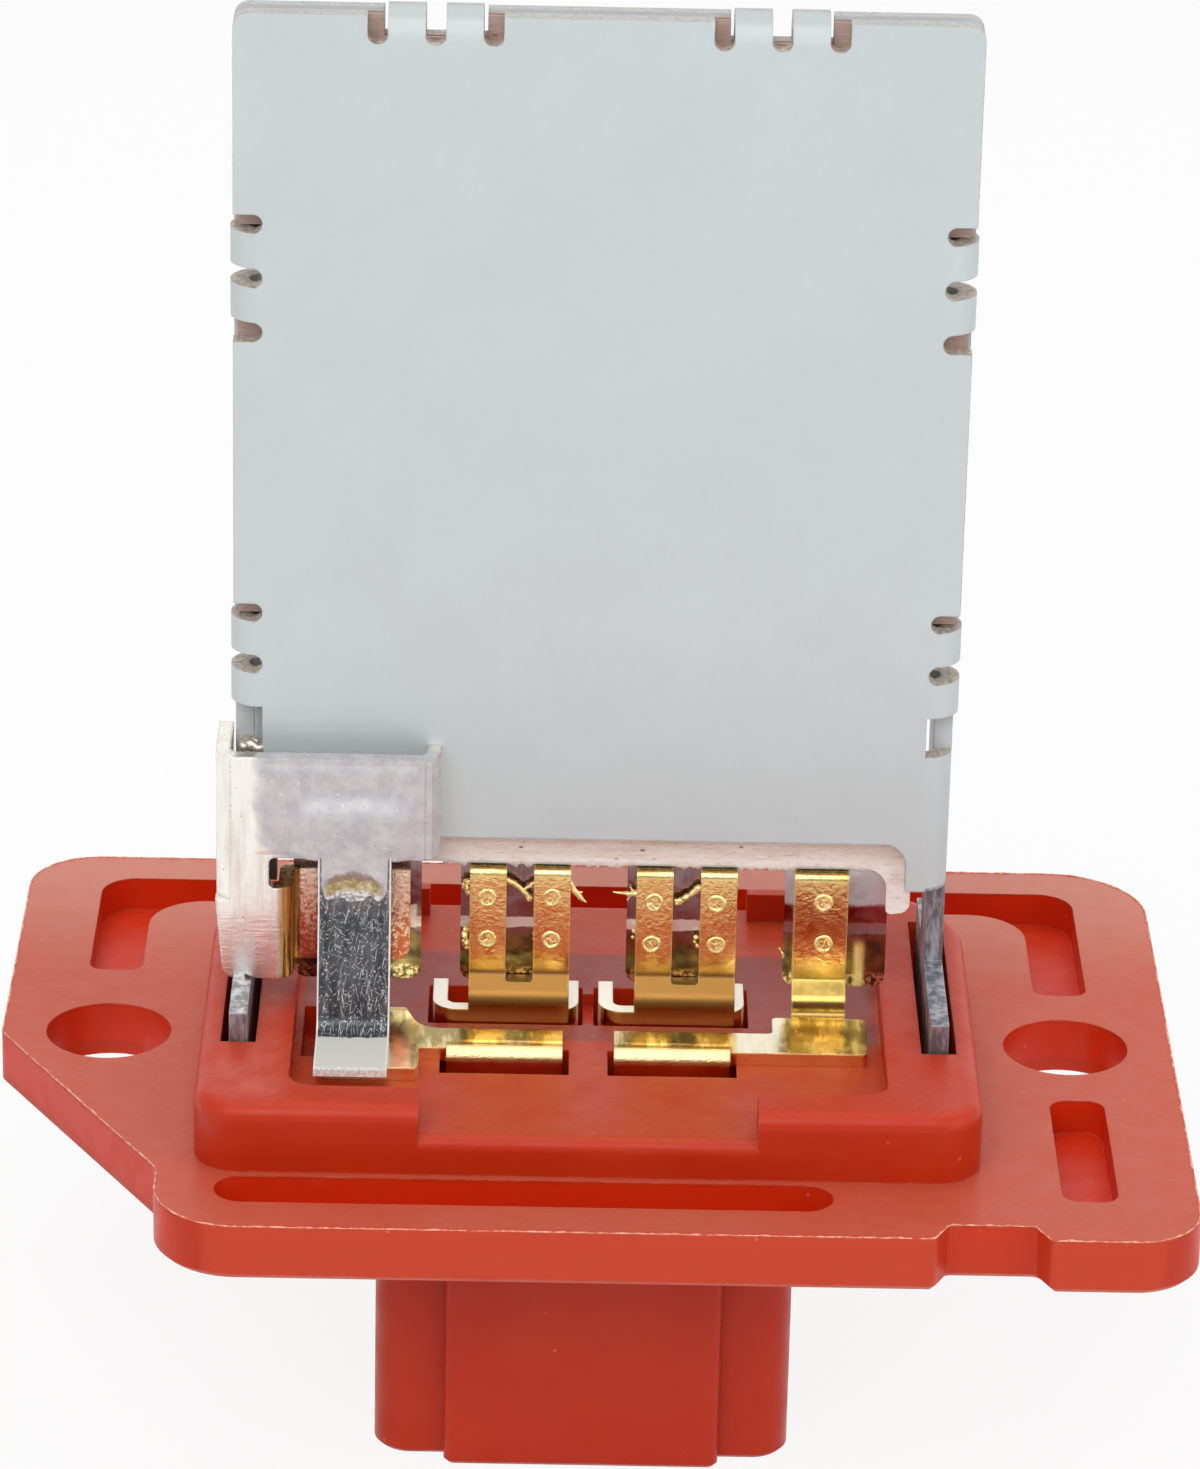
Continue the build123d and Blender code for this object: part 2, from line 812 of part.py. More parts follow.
def fuse_bracket():
    """Folded bracket: solder face, side wall over the leg, cheek and weld tab on the foil."""
    t = bracket_thickness
    left, right, fold = bracket_left, bracket_right, bracket_fold_x
    face_points = [
        (left + t, bracket_top),
        (right - t, bracket_top),
        (right - t, bracket_bottom),
        (bracket_relief_left, bracket_bottom),
        (bracket_relief_left, weld_tab_top),
        (fold - t, weld_tab_top),
        (fold - t, foot_top),
        (left + t, foot_top),
    ]
    r = sheet_corner
    face_radii = [0, 0, 0, r, r, 0, 0, bracket_leg_corner - t]
    body = upright(face_points, face_radii, bracket_front, bracket_back)
    half = t / 2
    y = bracket_front + half
    left_wall = [(left + 2 * t, y), (left + half, y), (left + half, bracket_wall_back)]
    points, radii = ribbon(left_wall, t, half)
    body += flat(points, radii, bracket_wall_bottom, bracket_top)
    inside = bracket_wall_bottom + overshoot
    lower = [
        (left, inside),
        (left + 2 * t, inside),
        (left + 2 * t, foot_top),
        (left + t / 2, foot_top),
    ]
    body += upright(lower, [0, 0, 0, t], bracket_front, bracket_back)
    right_wall = [(right - 2 * t, y), (right - half, y), (right - half, stack_front)]
    points, radii = ribbon(right_wall, t, half)
    body += flat(points, radii, bracket_bottom, bracket_top)
    tab_y = foil_front - half
    cheek = [
        (fold - 2 * t, y),
        (fold - half, y),
        (fold - half, tab_y),
        (fold + 2 * t, tab_y),
    ]
    points, radii = ribbon(cheek, t, half / 2)
    body += flat(points, radii, foot_top, weld_tab_top)
    tab = [
        (fold + t, weld_tab_top),
        (weld_tab_right, weld_tab_top),
        (weld_tab_right, foot_top),
        (fold + t, foot_top),
    ]
    return body + upright(tab, [0, 0, weld_tab_corner, 0], foil_front - t, foil_front)


def fuse_strip():
    """Spring strip: foot on the terminal pad, leaning shank and a top soldered to the bracket."""
    half = strip_thickness / 2
    foot_z = terminal_top + half
    path = [
        (strip_foot_front, foot_z),
        (strip_foot_back, foot_z),
        (bracket_front - half, strip_straight),
        (bracket_front - half, strip_top),
    ]
    points, radii = ribbon(path, strip_thickness, strip_bend_radius)
    return sideways(points, radii, strip_left, strip_right)


def fuse_solder():
    """Solder film on the bracket's face and the lump that holds the top of the spring strip."""
    left, right = bracket_left + solder_left_margin, bracket_right - solder_edge
    low, top = bracket_bottom + solder_edge / 2, bracket_top - solder_edge / 2
    film = [(left, top), (right, top), (right, low), (left, low)]
    r = solder_corner
    body = upright(film, [r] * 4, bracket_front - solder_film, bracket_front)
    lump_front = bracket_front - strip_thickness - solder_thickness
    lump_top = strip_top + solder_rise
    lump_bottom = bracket_bottom - solder_drop
    wide_left, wide_right = strip_left - solder_overlap, strip_right + solder_overlap
    lump = [
        (wide_left, lump_top),
        (wide_right, lump_top),
        (wide_right, low),
        (strip_right, low),
        (strip_right, lump_bottom),
        (strip_left, lump_bottom),
        (strip_left, low),
        (wide_left, low),
    ]
    bead = upright(lump, [r, r, 0, 0, r, r, 0, 0], lump_front, bracket_front)
    bead = chamfer(bead.faces().sort_by(Axis.Y)[0].edges(), solder_chamfer)
    return body + bead - fuse_strip()


pieces = {
    "base_housing": base_housing(),
    "front_heat_plate": front_heat_plate(),
    "rear_heat_plate": stack_sheet(
        0,
        plate_bottom,
        rear_plate_front,
        rear_plate_thickness,
        rear_plate_left_narrowing,
    ),
    "front_insulator": insulator(front_insulator_front),
    "rear_insulator": insulator(foil_back),
    "resistor_foil": resistor_foil(),
    "rear_terminal_left": rear_terminal(-blade_pitch / 2),
    "rear_terminal_right": rear_terminal(blade_pitch / 2),
    "front_terminal_left": front_terminal_left(),
    "front_terminal_right": front_terminal_right(),
    "fuse_bracket": fuse_bracket(),
    "fuse_strip": fuse_strip(),
    "fuse_solder": fuse_solder(),
}

for name, solid in pieces.items():
    solid.label = name
    export_step(solid, f"parts/{name}.step")
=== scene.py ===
"""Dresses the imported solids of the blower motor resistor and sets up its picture.

Places and sizes are millimetres of the row frame, and MM turns them into metres.
"""

import random
from math import cos, pi, radians, sin

import bmesh
import bpy
from mathutils import Matrix, Vector, noise


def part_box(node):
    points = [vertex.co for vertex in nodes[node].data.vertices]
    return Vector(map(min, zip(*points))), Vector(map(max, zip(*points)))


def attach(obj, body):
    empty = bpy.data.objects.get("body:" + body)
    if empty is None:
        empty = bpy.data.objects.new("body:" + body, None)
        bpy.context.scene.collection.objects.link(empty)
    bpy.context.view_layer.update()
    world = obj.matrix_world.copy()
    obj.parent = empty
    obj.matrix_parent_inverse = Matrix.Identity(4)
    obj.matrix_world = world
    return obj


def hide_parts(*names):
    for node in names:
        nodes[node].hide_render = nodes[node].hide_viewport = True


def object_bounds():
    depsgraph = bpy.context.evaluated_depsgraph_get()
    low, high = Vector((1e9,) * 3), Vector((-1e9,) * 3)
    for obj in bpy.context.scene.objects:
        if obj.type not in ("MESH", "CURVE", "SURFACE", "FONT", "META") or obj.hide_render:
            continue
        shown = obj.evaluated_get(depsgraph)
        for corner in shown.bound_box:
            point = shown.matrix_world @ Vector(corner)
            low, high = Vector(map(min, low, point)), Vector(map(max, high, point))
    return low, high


MM = 0.001
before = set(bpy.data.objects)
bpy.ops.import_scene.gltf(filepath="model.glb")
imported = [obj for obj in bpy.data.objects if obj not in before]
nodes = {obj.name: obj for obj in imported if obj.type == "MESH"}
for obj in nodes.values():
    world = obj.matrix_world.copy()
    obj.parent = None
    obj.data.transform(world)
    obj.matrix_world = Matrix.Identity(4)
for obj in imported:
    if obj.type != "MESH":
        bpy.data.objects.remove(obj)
cad_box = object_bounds()
BOTTOM = cad_box[0][2] / MM


# Camera, floor and light. The camera was fitted to straight edges of the photograph.

FOCAL_PX = 6501.3
IMAGE_WIDTH_PX = 1200
SENSOR = 36.0
CAMERA_PITCH = radians(23.363)
CAMERA_YAW = radians(0.574)
CAMERA_ROLL = radians(1.277)
CAMERA_PLACE = Vector((-2.921, -324.042, 158.364)) * MM
CLIP_START = 0.01

FLOOR_REACH = 1200
FLOOR_GREY = 0.9
FLOOR_SEEN_SHARE = 0.88
FLAG_Y = -600
FLAG_HALF_WIDTH = 380
FLAG_RISE = 20
FLAG_TOP = 300
FLAG_GREY = 0.22
PAPER_ROUGHNESS = 0.9
PAPER_SPECULAR = 0.1
WORLD_STRENGTH = 0.46

LAMP_SIDE = 500
LAMPS = {
    "key": {"place": (-160, -520, 420), "target": (0, 0, 20), "power": 2.4},
    "fill": {"place": (480, -330, 260), "target": (0, 0, 20), "power": 0.9},
    "top": {"place": (0, 120, 520), "target": (0, 0, 10), "power": 0.9},
}


def add_camera():
    ahead = Vector(
        (
            sin(CAMERA_YAW) * cos(CAMERA_PITCH),
            cos(CAMERA_YAW) * cos(CAMERA_PITCH),
            -sin(CAMERA_PITCH),
        )
    )
    level = Vector((cos(CAMERA_YAW), -sin(CAMERA_YAW), 0))
    rise = level.cross(ahead)
    right = level * cos(CAMERA_ROLL) + rise * sin(CAMERA_ROLL)
    up = rise * cos(CAMERA_ROLL) - level * sin(CAMERA_ROLL)
    data = bpy.data.cameras.new("camera")
    data.sensor_fit = "HORIZONTAL"
    data.sensor_width = SENSOR
    data.lens = FOCAL_PX / IMAGE_WIDTH_PX * SENSOR
    data.clip_start = CLIP_START
    camera = bpy.data.objects.new("camera", data)
    bpy.context.scene.collection.objects.link(camera)
    turn = Matrix((right, up, -ahead)).transposed().to_4x4()
    camera.matrix_world = Matrix.Translation(CAMERA_PLACE) @ turn
    bpy.context.scene.camera = camera


def add_lamp(name, place, target, power):
    data = bpy.data.lights.new(name, "AREA")
    data.shape = "SQUARE"
    data.size = LAMP_SIDE * MM
    data.energy = power
    lamp = bpy.data.objects.new(name, data)
    bpy.context.scene.collection.objects.link(lamp)
    lamp.location = Vector(place) * MM
    aim = (Vector(target) - Vector(place)).normalized()
    lamp.rotation_euler = aim.to_track_quat("-Z", "Y").to_euler()


def show_white(tree, shader, white, seen_share=1.0):
    """Shows white in place of the shader: all of it to mirror rays, the share to the camera."""
    path = tree.nodes.new("ShaderNodeLightPath")
    seen = tree.nodes.new("ShaderNodeMath")
    seen.operation = "MULTIPLY"
    seen.inputs[1].default_value = seen_share
    tree.links.new(path.outputs["Is Camera Ray"], seen.inputs[0])
    share = seen.outputs[0]
    for ray in ("Is Glossy Ray", "Is Transmission Ray"):
        either = tree.nodes.new("ShaderNodeMath")
        either.operation = "MAXIMUM"
        tree.links.new(share, either.inputs[0])
        tree.links.new(path.outputs[ray], either.inputs[1])
        share = either.outputs[0]
    mix = tree.nodes.new("ShaderNodeMixShader")
    tree.links.new(share, mix.inputs[0])
    tree.links.new(shader, mix.inputs[1])
    bright = tree.nodes.new(white)
    bright.inputs["Color"].default_value = (1, 1, 1, 1)
    tree.links.new(bright.outputs[0], mix.inputs[2])
    return mix.outputs[0]


def paper_material(name, grey):
    material = bpy.data.materials.new(name)
    material.use_nodes = True
    shader = material.node_tree.nodes["Principled BSDF"]
    shader.inputs["Base Color"].default_value = (grey, grey, grey, 1)
    shader.inputs["Roughness"].default_value = PAPER_ROUGHNESS
    shader.inputs["Specular IOR Level"].default_value = PAPER_SPECULAR
    return material


def add_stage_sheet(name, corners, material):
    mesh = bpy.data.meshes.new(name)
    mesh.from_pydata([Vector(corner) * MM for corner in corners], [], [(0, 1, 2, 3)])
    mesh.materials.append(material)
    sheet = bpy.data.objects.new(name, mesh)
    bpy.context.scene.collection.objects.link(sheet)
    return sheet


def add_floor():
    """White paper that the object stands on and that keeps its shadow."""
    r, z = FLOOR_REACH, BOTTOM
    corners = [(-r, -r, z), (r, -r, z), (r, r, z), (-r, r, z)]
    material = paper_material("floor_paper", FLOOR_GREY)
    tree = material.node_tree
    paper = tree.nodes["Principled BSDF"].outputs[0]
    shown = show_white(tree, paper, "ShaderNodeEmission", FLOOR_SEEN_SHARE)
    tree.links.new(shown, tree.nodes["Material Output"].inputs["Surface"])
    add_stage_sheet("floor", corners, material)


def add_flag():
    """Dark card in front of the object, low enough that only leaning metal mirrors it."""
    half, y, low, high = FLAG_HALF_WIDTH, FLAG_Y, BOTTOM + FLAG_RISE, FLAG_TOP
    corners = [(-half, y, low), (half, y, low), (half, y, high), (-half, y, high)]
    card = add_stage_sheet("flag", corners, paper_material("flag_card", FLAG_GREY))
    card.visible_camera = False


def add_world():
    world = bpy.data.worlds.new("studio")
    bpy.context.scene.world = world
    world.use_nodes = True
    tree = world.node_tree
    sky = tree.nodes["Background"]
    sky.inputs["Color"].default_value = (1, 1, 1, 1)
    sky.inputs["Strength"].default_value = WORLD_STRENGTH
    shown = show_white(tree, sky.outputs[0], "ShaderNodeBackground")
    tree.links.new(shown, tree.nodes["World Output"].inputs["Surface"])


# Node materials, drawn in millimetres of the row frame


BEVEL_SAMPLES = 2


class Graph:
    """A Principled material whose patterns are placed in millimetres.

    x, y, z give the place and nx, ny, nz the direction that the surface faces. Where an edge
    radius is given, edges are rounded by it and edge is one on them.
    """

    def __init__(self, name, edge_radius=0.0):
        self.material = bpy.data.materials.new(name)
        self.material.use_nodes = True
        self.tree = self.material.node_tree
        self.shader = self.tree.nodes["Principled BSDF"]
        coordinates = self.node("ShaderNodeTexCoord")
        scale = self.node("ShaderNodeVectorMath", operation="SCALE")
        scale.inputs["Scale"].default_value = 1 / MM
        self.join(coordinates.outputs["Object"], scale.inputs[0])
        self.position = scale.outputs[0]
        split = self.node("ShaderNodeSeparateXYZ")
        self.join(self.position, split.inputs[0])
        self.x, self.y, self.z = split.outputs
        facing = self.node("ShaderNodeSeparateXYZ")
        self.join(coordinates.outputs["Normal"], facing.inputs[0])
        self.nx, self.ny, self.nz = facing.outputs
        self.normal = None
        if edge_radius:
            bevel = self.node("ShaderNodeBevel", samples=BEVEL_SAMPLES)
            bevel.inputs["Radius"].default_value = edge_radius * MM
            self.normal = bevel.outputs[0]
            same = self.node("ShaderNodeVectorMath", operation="DOT_PRODUCT")
            self.join(bevel.outputs[0], same.inputs[0])
            self.join(self.node("ShaderNodeNewGeometry").outputs["Normal"], same.inputs[1])
            self.edge = self.ramp(same.outputs["Value"], 0.8, 0.99, 1.0, 0.0)

    def node(self, kind, **settings):
        made = self.tree.nodes.new(kind)
        for key, value in settings.items():
            setattr(made, key, value)
        return made

    def join(self, value, socket):
        if isinstance(value, bpy.types.NodeSocket):
            self.tree.links.new(value, socket)
        elif isinstance(value, tuple) and len(value) == 3 and len(socket.default_value) == 4:
            socket.default_value = (*value, 1)
        else:
            socket.default_value = value

    def math(self, operation, a, b=0.0, clamp=False):
        made = self.node("ShaderNodeMath", operation=operation, use_clamp=clamp)
        self.join(a, made.inputs[0])
        self.join(b, made.inputs[1])
        return made.outputs[0]

    def over(self, value, limit):
        return self.math("GREATER_THAN", value, limit)

    def under(self, value, limit):
        return self.math("LESS_THAN", value, limit)

    def absolute(self, value):
        return self.math("ABSOLUTE", value)

    def total(self, a, b):
        return self.math("ADD", a, b)

    def without(self, share):
        return self.math("SUBTRACT", 1.0, share)

    def ramp(self, value, low, high, bottom=0.0, top=1.0):
        """Smooth step from bottom to top as the value goes from low to high."""
        made = self.node("ShaderNodeMapRange", interpolation_type="SMOOTHSTEP")
        for socket, setting in zip(made.inputs, (value, low, high, bottom, top)):
            self.join(setting, socket)
        return made.outputs[0]

    def band(self, value, low, high, soft):
        """One between low and high, fading to nothing over the soft width outside."""
        rise = self.ramp(value, low - soft, low)
        fall = self.ramp(value, high, high + soft, 1.0, 0.0)
        return self.math("MULTIPLY", rise, fall)

    def both(self, *values):
        """The values' product: one where all masks are."""
        result = values[0]
        for value in values[1:]:
            result = self.math("MULTIPLY", result, value)
        return result

    def most(self, *values):
        """The highest value: one where any mask is."""
        result = values[0]
        for value in values[1:]:
            result = self.math("MAXIMUM", result, value)
        return result

    def rim(self, value, middle, half, line):
        """One on the two lines that lie the half width from the middle."""
        offset = self.absolute(self.math("SUBTRACT", value, middle))
        return self.band(offset, half - line, half + line, line / 2)

    def stretched(self, size, shift):
        """The place, counted in grains of the size, one number or three."""
        size = size if isinstance(size, tuple) else (size, size, size)
        made = self.node("ShaderNodeVectorMath", operation="MULTIPLY_ADD")
        self.join(self.position, made.inputs[0])
        made.inputs[1].default_value = tuple(1 / s for s in size)
        made.inputs[2].default_value = (shift, shift, shift)
        return made.outputs[0]

    def noise(self, size, detail=2.0, rough=0.5, shift=0.0, bend=0.0):
        """Noise whose grains are about the size in millimetres."""
        made = self.node("ShaderNodeTexNoise")
        self.join(self.stretched(size, shift), made.inputs["Vector"])
        made.inputs["Scale"].default_value = 1.0
        made.inputs["Detail"].default_value = detail
        made.inputs["Roughness"].default_value = rough
        made.inputs["Distortion"].default_value = bend
        return made.outputs["Fac"]

    def cells(self, size, shift=0.0):
        """Distance from the middle of cells about the size in millimetres."""
        made = self.node("ShaderNodeTexVoronoi")
        self.join(self.stretched(size, shift), made.inputs["Vector"])
        made.inputs["Scale"].default_value = 1.0
        return made.outputs["Distance"]

    def scratches(self, axis, angle, length, width, shift=0.0, weight=0.5):
        """Straight scratches on a face across the axis, at the angle in degrees."""
        turn = self.node("ShaderNodeVectorRotate", rotation_type=f"{axis}_AXIS")
        self.join(self.position, turn.inputs["Vector"])
        turn.inputs["Angle"].default_value = radians(angle)
        through = 0.3
        grains = {
            "Y": (1 / length, through, 1 / width),
            "Z": (1 / length, 1 / width, through),
        }
        made = self.node("ShaderNodeVectorMath", operation="MULTIPLY_ADD")
        self.join(turn.outputs[0], made.inputs[0])
        made.inputs[1].default_value = grains[axis]
        made.inputs[2].default_value = (shift, shift * 1.7, shift * 0.6)
        cell = self.node("ShaderNodeTexVoronoi")
        self.join(made.outputs[0], cell.inputs["Vector"])
        cell.inputs["Scale"].default_value = 1.0
        return self.ramp(cell.outputs["Distance"], 0.0, weight, 1.0, 0.0)

    def mix(self, share, a, b):
        """Colour from a to b by the share."""
        made = self.node("ShaderNodeMix", data_type="RGBA")
        self.join(share, made.inputs["Factor"])
        self.join(a, made.inputs[6])
        self.join(b, made.inputs[7])
        return made.outputs[2]

    def blend(self, share, a, b):
        """Number from a to b by the share."""
        made = self.node("ShaderNodeMix", data_type="FLOAT")
        self.join(share, made.inputs["Factor"])
        self.join(a, made.inputs[2])
        self.join(b, made.inputs[3])
        return made.outputs[0]

    def bump(self, height, depth):
        """Adds relief of the depth in millimetres to the surface's normal."""
        made = self.node("ShaderNodeBump")
        made.inputs["Strength"].default_value = 1.0
        made.inputs["Distance"].default_value = depth * MM
        self.join(height, made.inputs["Height"])
        if self.normal is not None:
            self.join(self.normal, made.inputs["Normal"])
        self.normal = made.outputs[0]

    def finish(self, color, roughness, metallic=0.0, **settings):
        for name, value in {
            "Base Color": color,
            "Roughness": roughness,
            "Metallic": metallic,
            **settings,
        }.items():
            self.join(value, self.shader.inputs[name])
        if self.normal is not None:
            self.join(self.normal, self.shader.inputs["Normal"])
        return self.material


def srgb(r, g, b):
    """Linear colour of an sRGB colour given from 0 to 255."""
    return tuple(((v / 255 + 0.055) / 1.055) ** 2.4 for v in (r, g, b))


# Levels and edges of the solids that the looks and the added pieces follow

TRAY_FLOOR = 2.2
TERMINAL_TOP = 3.0
BLOCK_TOP = 3.9
FLANGE_TOP = 0.0
FLANGE_FRONT = -23.1
POCKET_DEPTH = 2.0
SHEET_EDGE = 11.2
PLATE_BOTTOM = 13.1
FINGER_FRONT = -1.8
BRACKET_BOTTOM = 12.7
STRIP_MIDDLE = -12.8
STRIP_THICKNESS = 0.4


def plastic_material():
    """Orange moulding: painted sheen on level faces, painted shade under the plates, painted light
    on the flange front and in hollows, pale edges of wear and painted highlight, specks and
    scuffs.
    """
    g = Graph("orange_plastic", edge_radius=0.15)
    pale = srgb(232, 150, 118)
    cloud = g.noise(9.0, detail=3, rough=0.6)
    color = g.mix(g.ramp(cloud, 0.35, 0.7), srgb(190, 46, 10), srgb(194, 52, 15))
    level = g.ramp(g.nz, 0.7, 0.95)
    # Painted sheen: the tray floor's level faces are painted a lighter orange.
    floor = g.both(level, g.band(g.z, TRAY_FLOOR - 0.2, TRAY_FLOOR + 0.2, 0.2))
    color = g.mix(floor, color, srgb(192, 62, 28))
    shaded = g.both(g.band(g.y, -4.5, 6.0, 0.6), g.band(g.x, -15.6, 15.7, 0.2), floor, 0.75)
    color = g.mix(shaded, color, srgb(138, 62, 60))
    # Painted sheen: the flange top is painted paler and pinker, most of all towards the back.
    flange = g.both(level, g.band(g.z, FLANGE_TOP - 0.3, FLANGE_TOP + 0.3, 0.2))
    color = g.mix(flange, color, srgb(194, 82, 58))
    back = g.ramp(g.y, 6.0, 23.0, 0.0, 0.5)
    color = g.mix(g.both(flange, back), color, srgb(222, 160, 142))
    # Painted light: the flange's front face is painted a brighter orange.
    front = g.ramp(g.y, FLANGE_FRONT + 0.5, FLANGE_FRONT + 0.2)
    color = g.mix(g.both(front, 0.8), color, srgb(200, 66, 36))
    # Painted light: the pockets below the flange are painted a brighter, deeper orange.
    pocket = g.band(g.z, FLANGE_TOP - POCKET_DEPTH - 0.2, FLANGE_TOP - 0.3, 0.2)
    sunk = g.both(pocket, g.ramp(g.y, -22, -21), g.ramp(g.y, 24, 23), 0.7)
    color = g.mix(sunk, color, srgb(214, 46, 8))
    flow = g.noise((14.0, 2.0, 6.0), detail=4, rough=0.65, shift=3.0)
    color = g.mix(g.ramp(flow, 0.62, 0.8, 0.0, 0.18), color, pale)
    speck = g.cells(2.1, shift=5.0)
    color = g.mix(g.ramp(speck, 0.03, 0.07, 0.3, 0.0), color, pale)
    scuff = g.most(g.scratches("Z", 25, 5, 0.12), g.scratches("Z", -50, 3, 0.1, 4.0))
    color = g.mix(g.both(scuff, level, 0.1), color, pale)
    # Painted light: the walls inside the leg slots are painted bright orange in place of their
    # shade.
    leg_slot = g.both(g.band(g.absolute(g.x), 17.9, 19.7, 0.1), g.band(g.y, -9.0, 7.7, 0.1))
    inside = g.ramp(g.z, BLOCK_TOP, BLOCK_TOP - 0.2)
    color = g.mix(g.both(leg_slot, inside), color, srgb(250, 96, 34))
    # Pale broken edges: part wear, part a painted highlight along the rounded edges.
    broken = g.ramp(g.noise(1.2, detail=4, rough=0.7, shift=6.0), 0.4, 0.62)
    worn_and_highlit = g.both(g.edge, broken, g.ramp(g.z, -4.0, -3.4))
    color = g.mix(g.both(worn_and_highlit, 0.55), color, pale)
    g.bump(g.noise(0.35, detail=3, rough=0.6), 0.01)
    g.bump(g.noise(4.0, detail=1), 0.05)
    g.bump(g.both(worn_and_highlit, broken), 0.05)
    rough = g.ramp(g.noise(1.6, detail=3), 0.3, 0.7, 0.34, 0.46)
    return g.finish(
        color,
        rough,
        **{
            "IOR": 1.45,
            "Specular IOR Level": 0.36,
            "Subsurface Weight": 0.2,
            "Subsurface Radius": (0.0025, 0.0007, 0.0002),
            "Subsurface Scale": 1.0,
        },
    )


def flash_material():
    """Pale, broken plastic of the mould flash."""
    g = Graph("plastic_flash")
    broken = g.noise(0.5, detail=4, rough=0.7)
    color = g.mix(g.ramp(broken, 0.4, 0.65), srgb(222, 110, 78), srgb(246, 196, 172))
    g.bump(g.noise(0.1, detail=2), 0.02)
    return g.finish(color, g.ramp(broken, 0.3, 0.7, 0.4, 0.6))


def coated_material():
    """Pale grey coat, with bare metal on its cut edges and on the feet."""
    g = Graph("coated_sheet", edge_radius=0.14)
    cloud = g.noise(6.0, detail=4, rough=0.6)
    color = g.mix(g.ramp(cloud, 0.3, 0.7), srgb(203, 211, 213), srgb(200, 207, 209))
    fine = g.noise(0.5, detail=3, rough=0.7, shift=2.0)
    color = g.mix(g.ramp(fine, 0.55, 0.75, 0.0, 0.2), color, srgb(192, 199, 200))
    # Painted shade: the coat is painted darker towards the bottom of the plates.
    low = g.ramp(g.z, 24.0, 12.0)
    color = g.mix(g.both(low, 0.5), color, srgb(192, 197, 198))
    sideways = g.under(g.absolute(g.ny), 0.1)
    leg = g.over(g.absolute(g.x), 18.2)
    coated_leg = g.both(g.over(g.absolute(g.nx), 0.9), leg, g.under(g.z, 20.75))
    cut = g.math("SUBTRACT", sideways, coated_leg, clamp=True)
    streak = g.noise(0.25, detail=3, rough=0.7, shift=7.0)
    sheared = g.mix(g.ramp(streak, 0.35, 0.7), srgb(214, 202, 188), srgb(138, 126, 116))
    color = g.mix(cut, color, sheared)
    foot = g.both(leg, g.ramp(g.z, 10.4, 9.6))
    ankle = g.both(leg, g.ramp(g.z, 12.5, 11.5), g.ramp(g.z, 10.6, 10.4))
    tin = g.noise((0.6, 0.7, 2.2), detail=4, rough=0.65, shift=1.0)
    dull = g.mix(g.ramp(tin, 0.4, 0.65), srgb(112, 112, 120), srgb(184, 186, 192))
    color = g.mix(g.most(foot, ankle), color, dull)
    crest = g.both(g.ramp(g.nz, 0.2, 0.6), g.ramp(g.z, 59.0, 59.3))
    color = g.mix(g.both(crest, 0.6), color, srgb(176, 182, 184))
    # Painted shade: dark brown painted on the sheet behind the fuse bracket's relief hole.
    hole_shade = g.both(g.band(g.x, -18.7, -15.8, 0.2), g.band(g.z, 9.6, 12.6, 0.3))
    color = g.mix(g.both(hole_shade, 0.9), color, srgb(74, 46, 36))
    lint = g.scratches("Y", 70, 1.2, 0.05, 3.0, 0.3)
    color = g.mix(g.both(lint, 0.08), color, srgb(170, 175, 178))
    # Painted highlight: the rounded edges are painted near white.
    bright = g.both(g.edge, g.ramp(streak, 0.3, 0.6, 0.2, 0.6))
    color = g.mix(bright, color, srgb(232, 236, 236))
    g.bump(g.noise(0.3, detail=2), 0.005)
    g.bump(g.both(streak, cut), 0.03)
    g.bump(g.both(tin, foot), 0.03)
    rough = g.blend(cut, g.ramp(fine, 0.3, 0.7, 0.42, 0.55), 0.35)
    return g.finish(color, rough, metallic=g.both(foot, 0.75))


def mica_material():
    """Streaky cream sheet with brown flecks and a frayed lower edge, painted white partly as a
    highlight.
    """
    g = Graph("pressed_mica")
    flake = g.noise((3.0, 1.0, 0.5), detail=5, rough=0.65, bend=0.6)
    base = g.mix(g.ramp(flake, 0.3, 0.7), srgb(232, 212, 198), srgb(246, 234, 226))
    streak = g.noise((5.0, 1.0, 0.16), detail=4, rough=0.7, shift=4.0, bend=0.4)
    base = g.mix(g.ramp(streak, 0.55, 0.72, 0.0, 0.6), base, srgb(248, 238, 232))
    brown = g.noise((4.0, 1.0, 0.12), detail=3, rough=0.6, shift=14.0)
    base = g.mix(g.ramp(brown, 0.6, 0.74, 0.0, 0.5), base, srgb(170, 128, 116))
    fleck = g.noise((0.5, 1.0, 0.1), detail=3, rough=0.7, shift=18.0)
    base = g.mix(g.ramp(fleck, 0.56, 0.7, 0.0, 0.55), base, srgb(188, 150, 138))
    base = g.mix(g.ramp(fleck, 0.42, 0.3, 0.0, 0.6), base, srgb(255, 250, 246))
    spots = g.cells((1.6, 1.6, 0.9), shift=2.0)
    base = g.mix(g.ramp(spots, 0.05, 0.12, 0.85, 0.0), base, srgb(110, 84, 76))
    shaded = g.ramp(g.z, PLATE_BOTTOM - 0.25, PLATE_BOTTOM - 0.05, 0.0, 0.7)
    base = g.mix(shaded, base, srgb(150, 108, 98))
    torn = g.noise((0.7, 0.5, 0.3), detail=4, rough=0.7, shift=9.0)
    # The frayed lower edge is painted white: part torn flakes, part a painted highlight.
    frayed = g.both(g.ramp(g.z, SHEET_EDGE + 0.6, SHEET_EDGE + 0.1), g.ramp(torn, 0.3, 0.6))
    base = g.mix(frayed, base, srgb(250, 244, 240))
    g.bump(streak, 0.05)
    g.bump(g.noise(0.2, detail=3), 0.012)
    rough = g.ramp(flake, 0.3, 0.7, 0.26, 0.42)
    return g.finish(base, rough, **{"Coat Weight": 0.2})


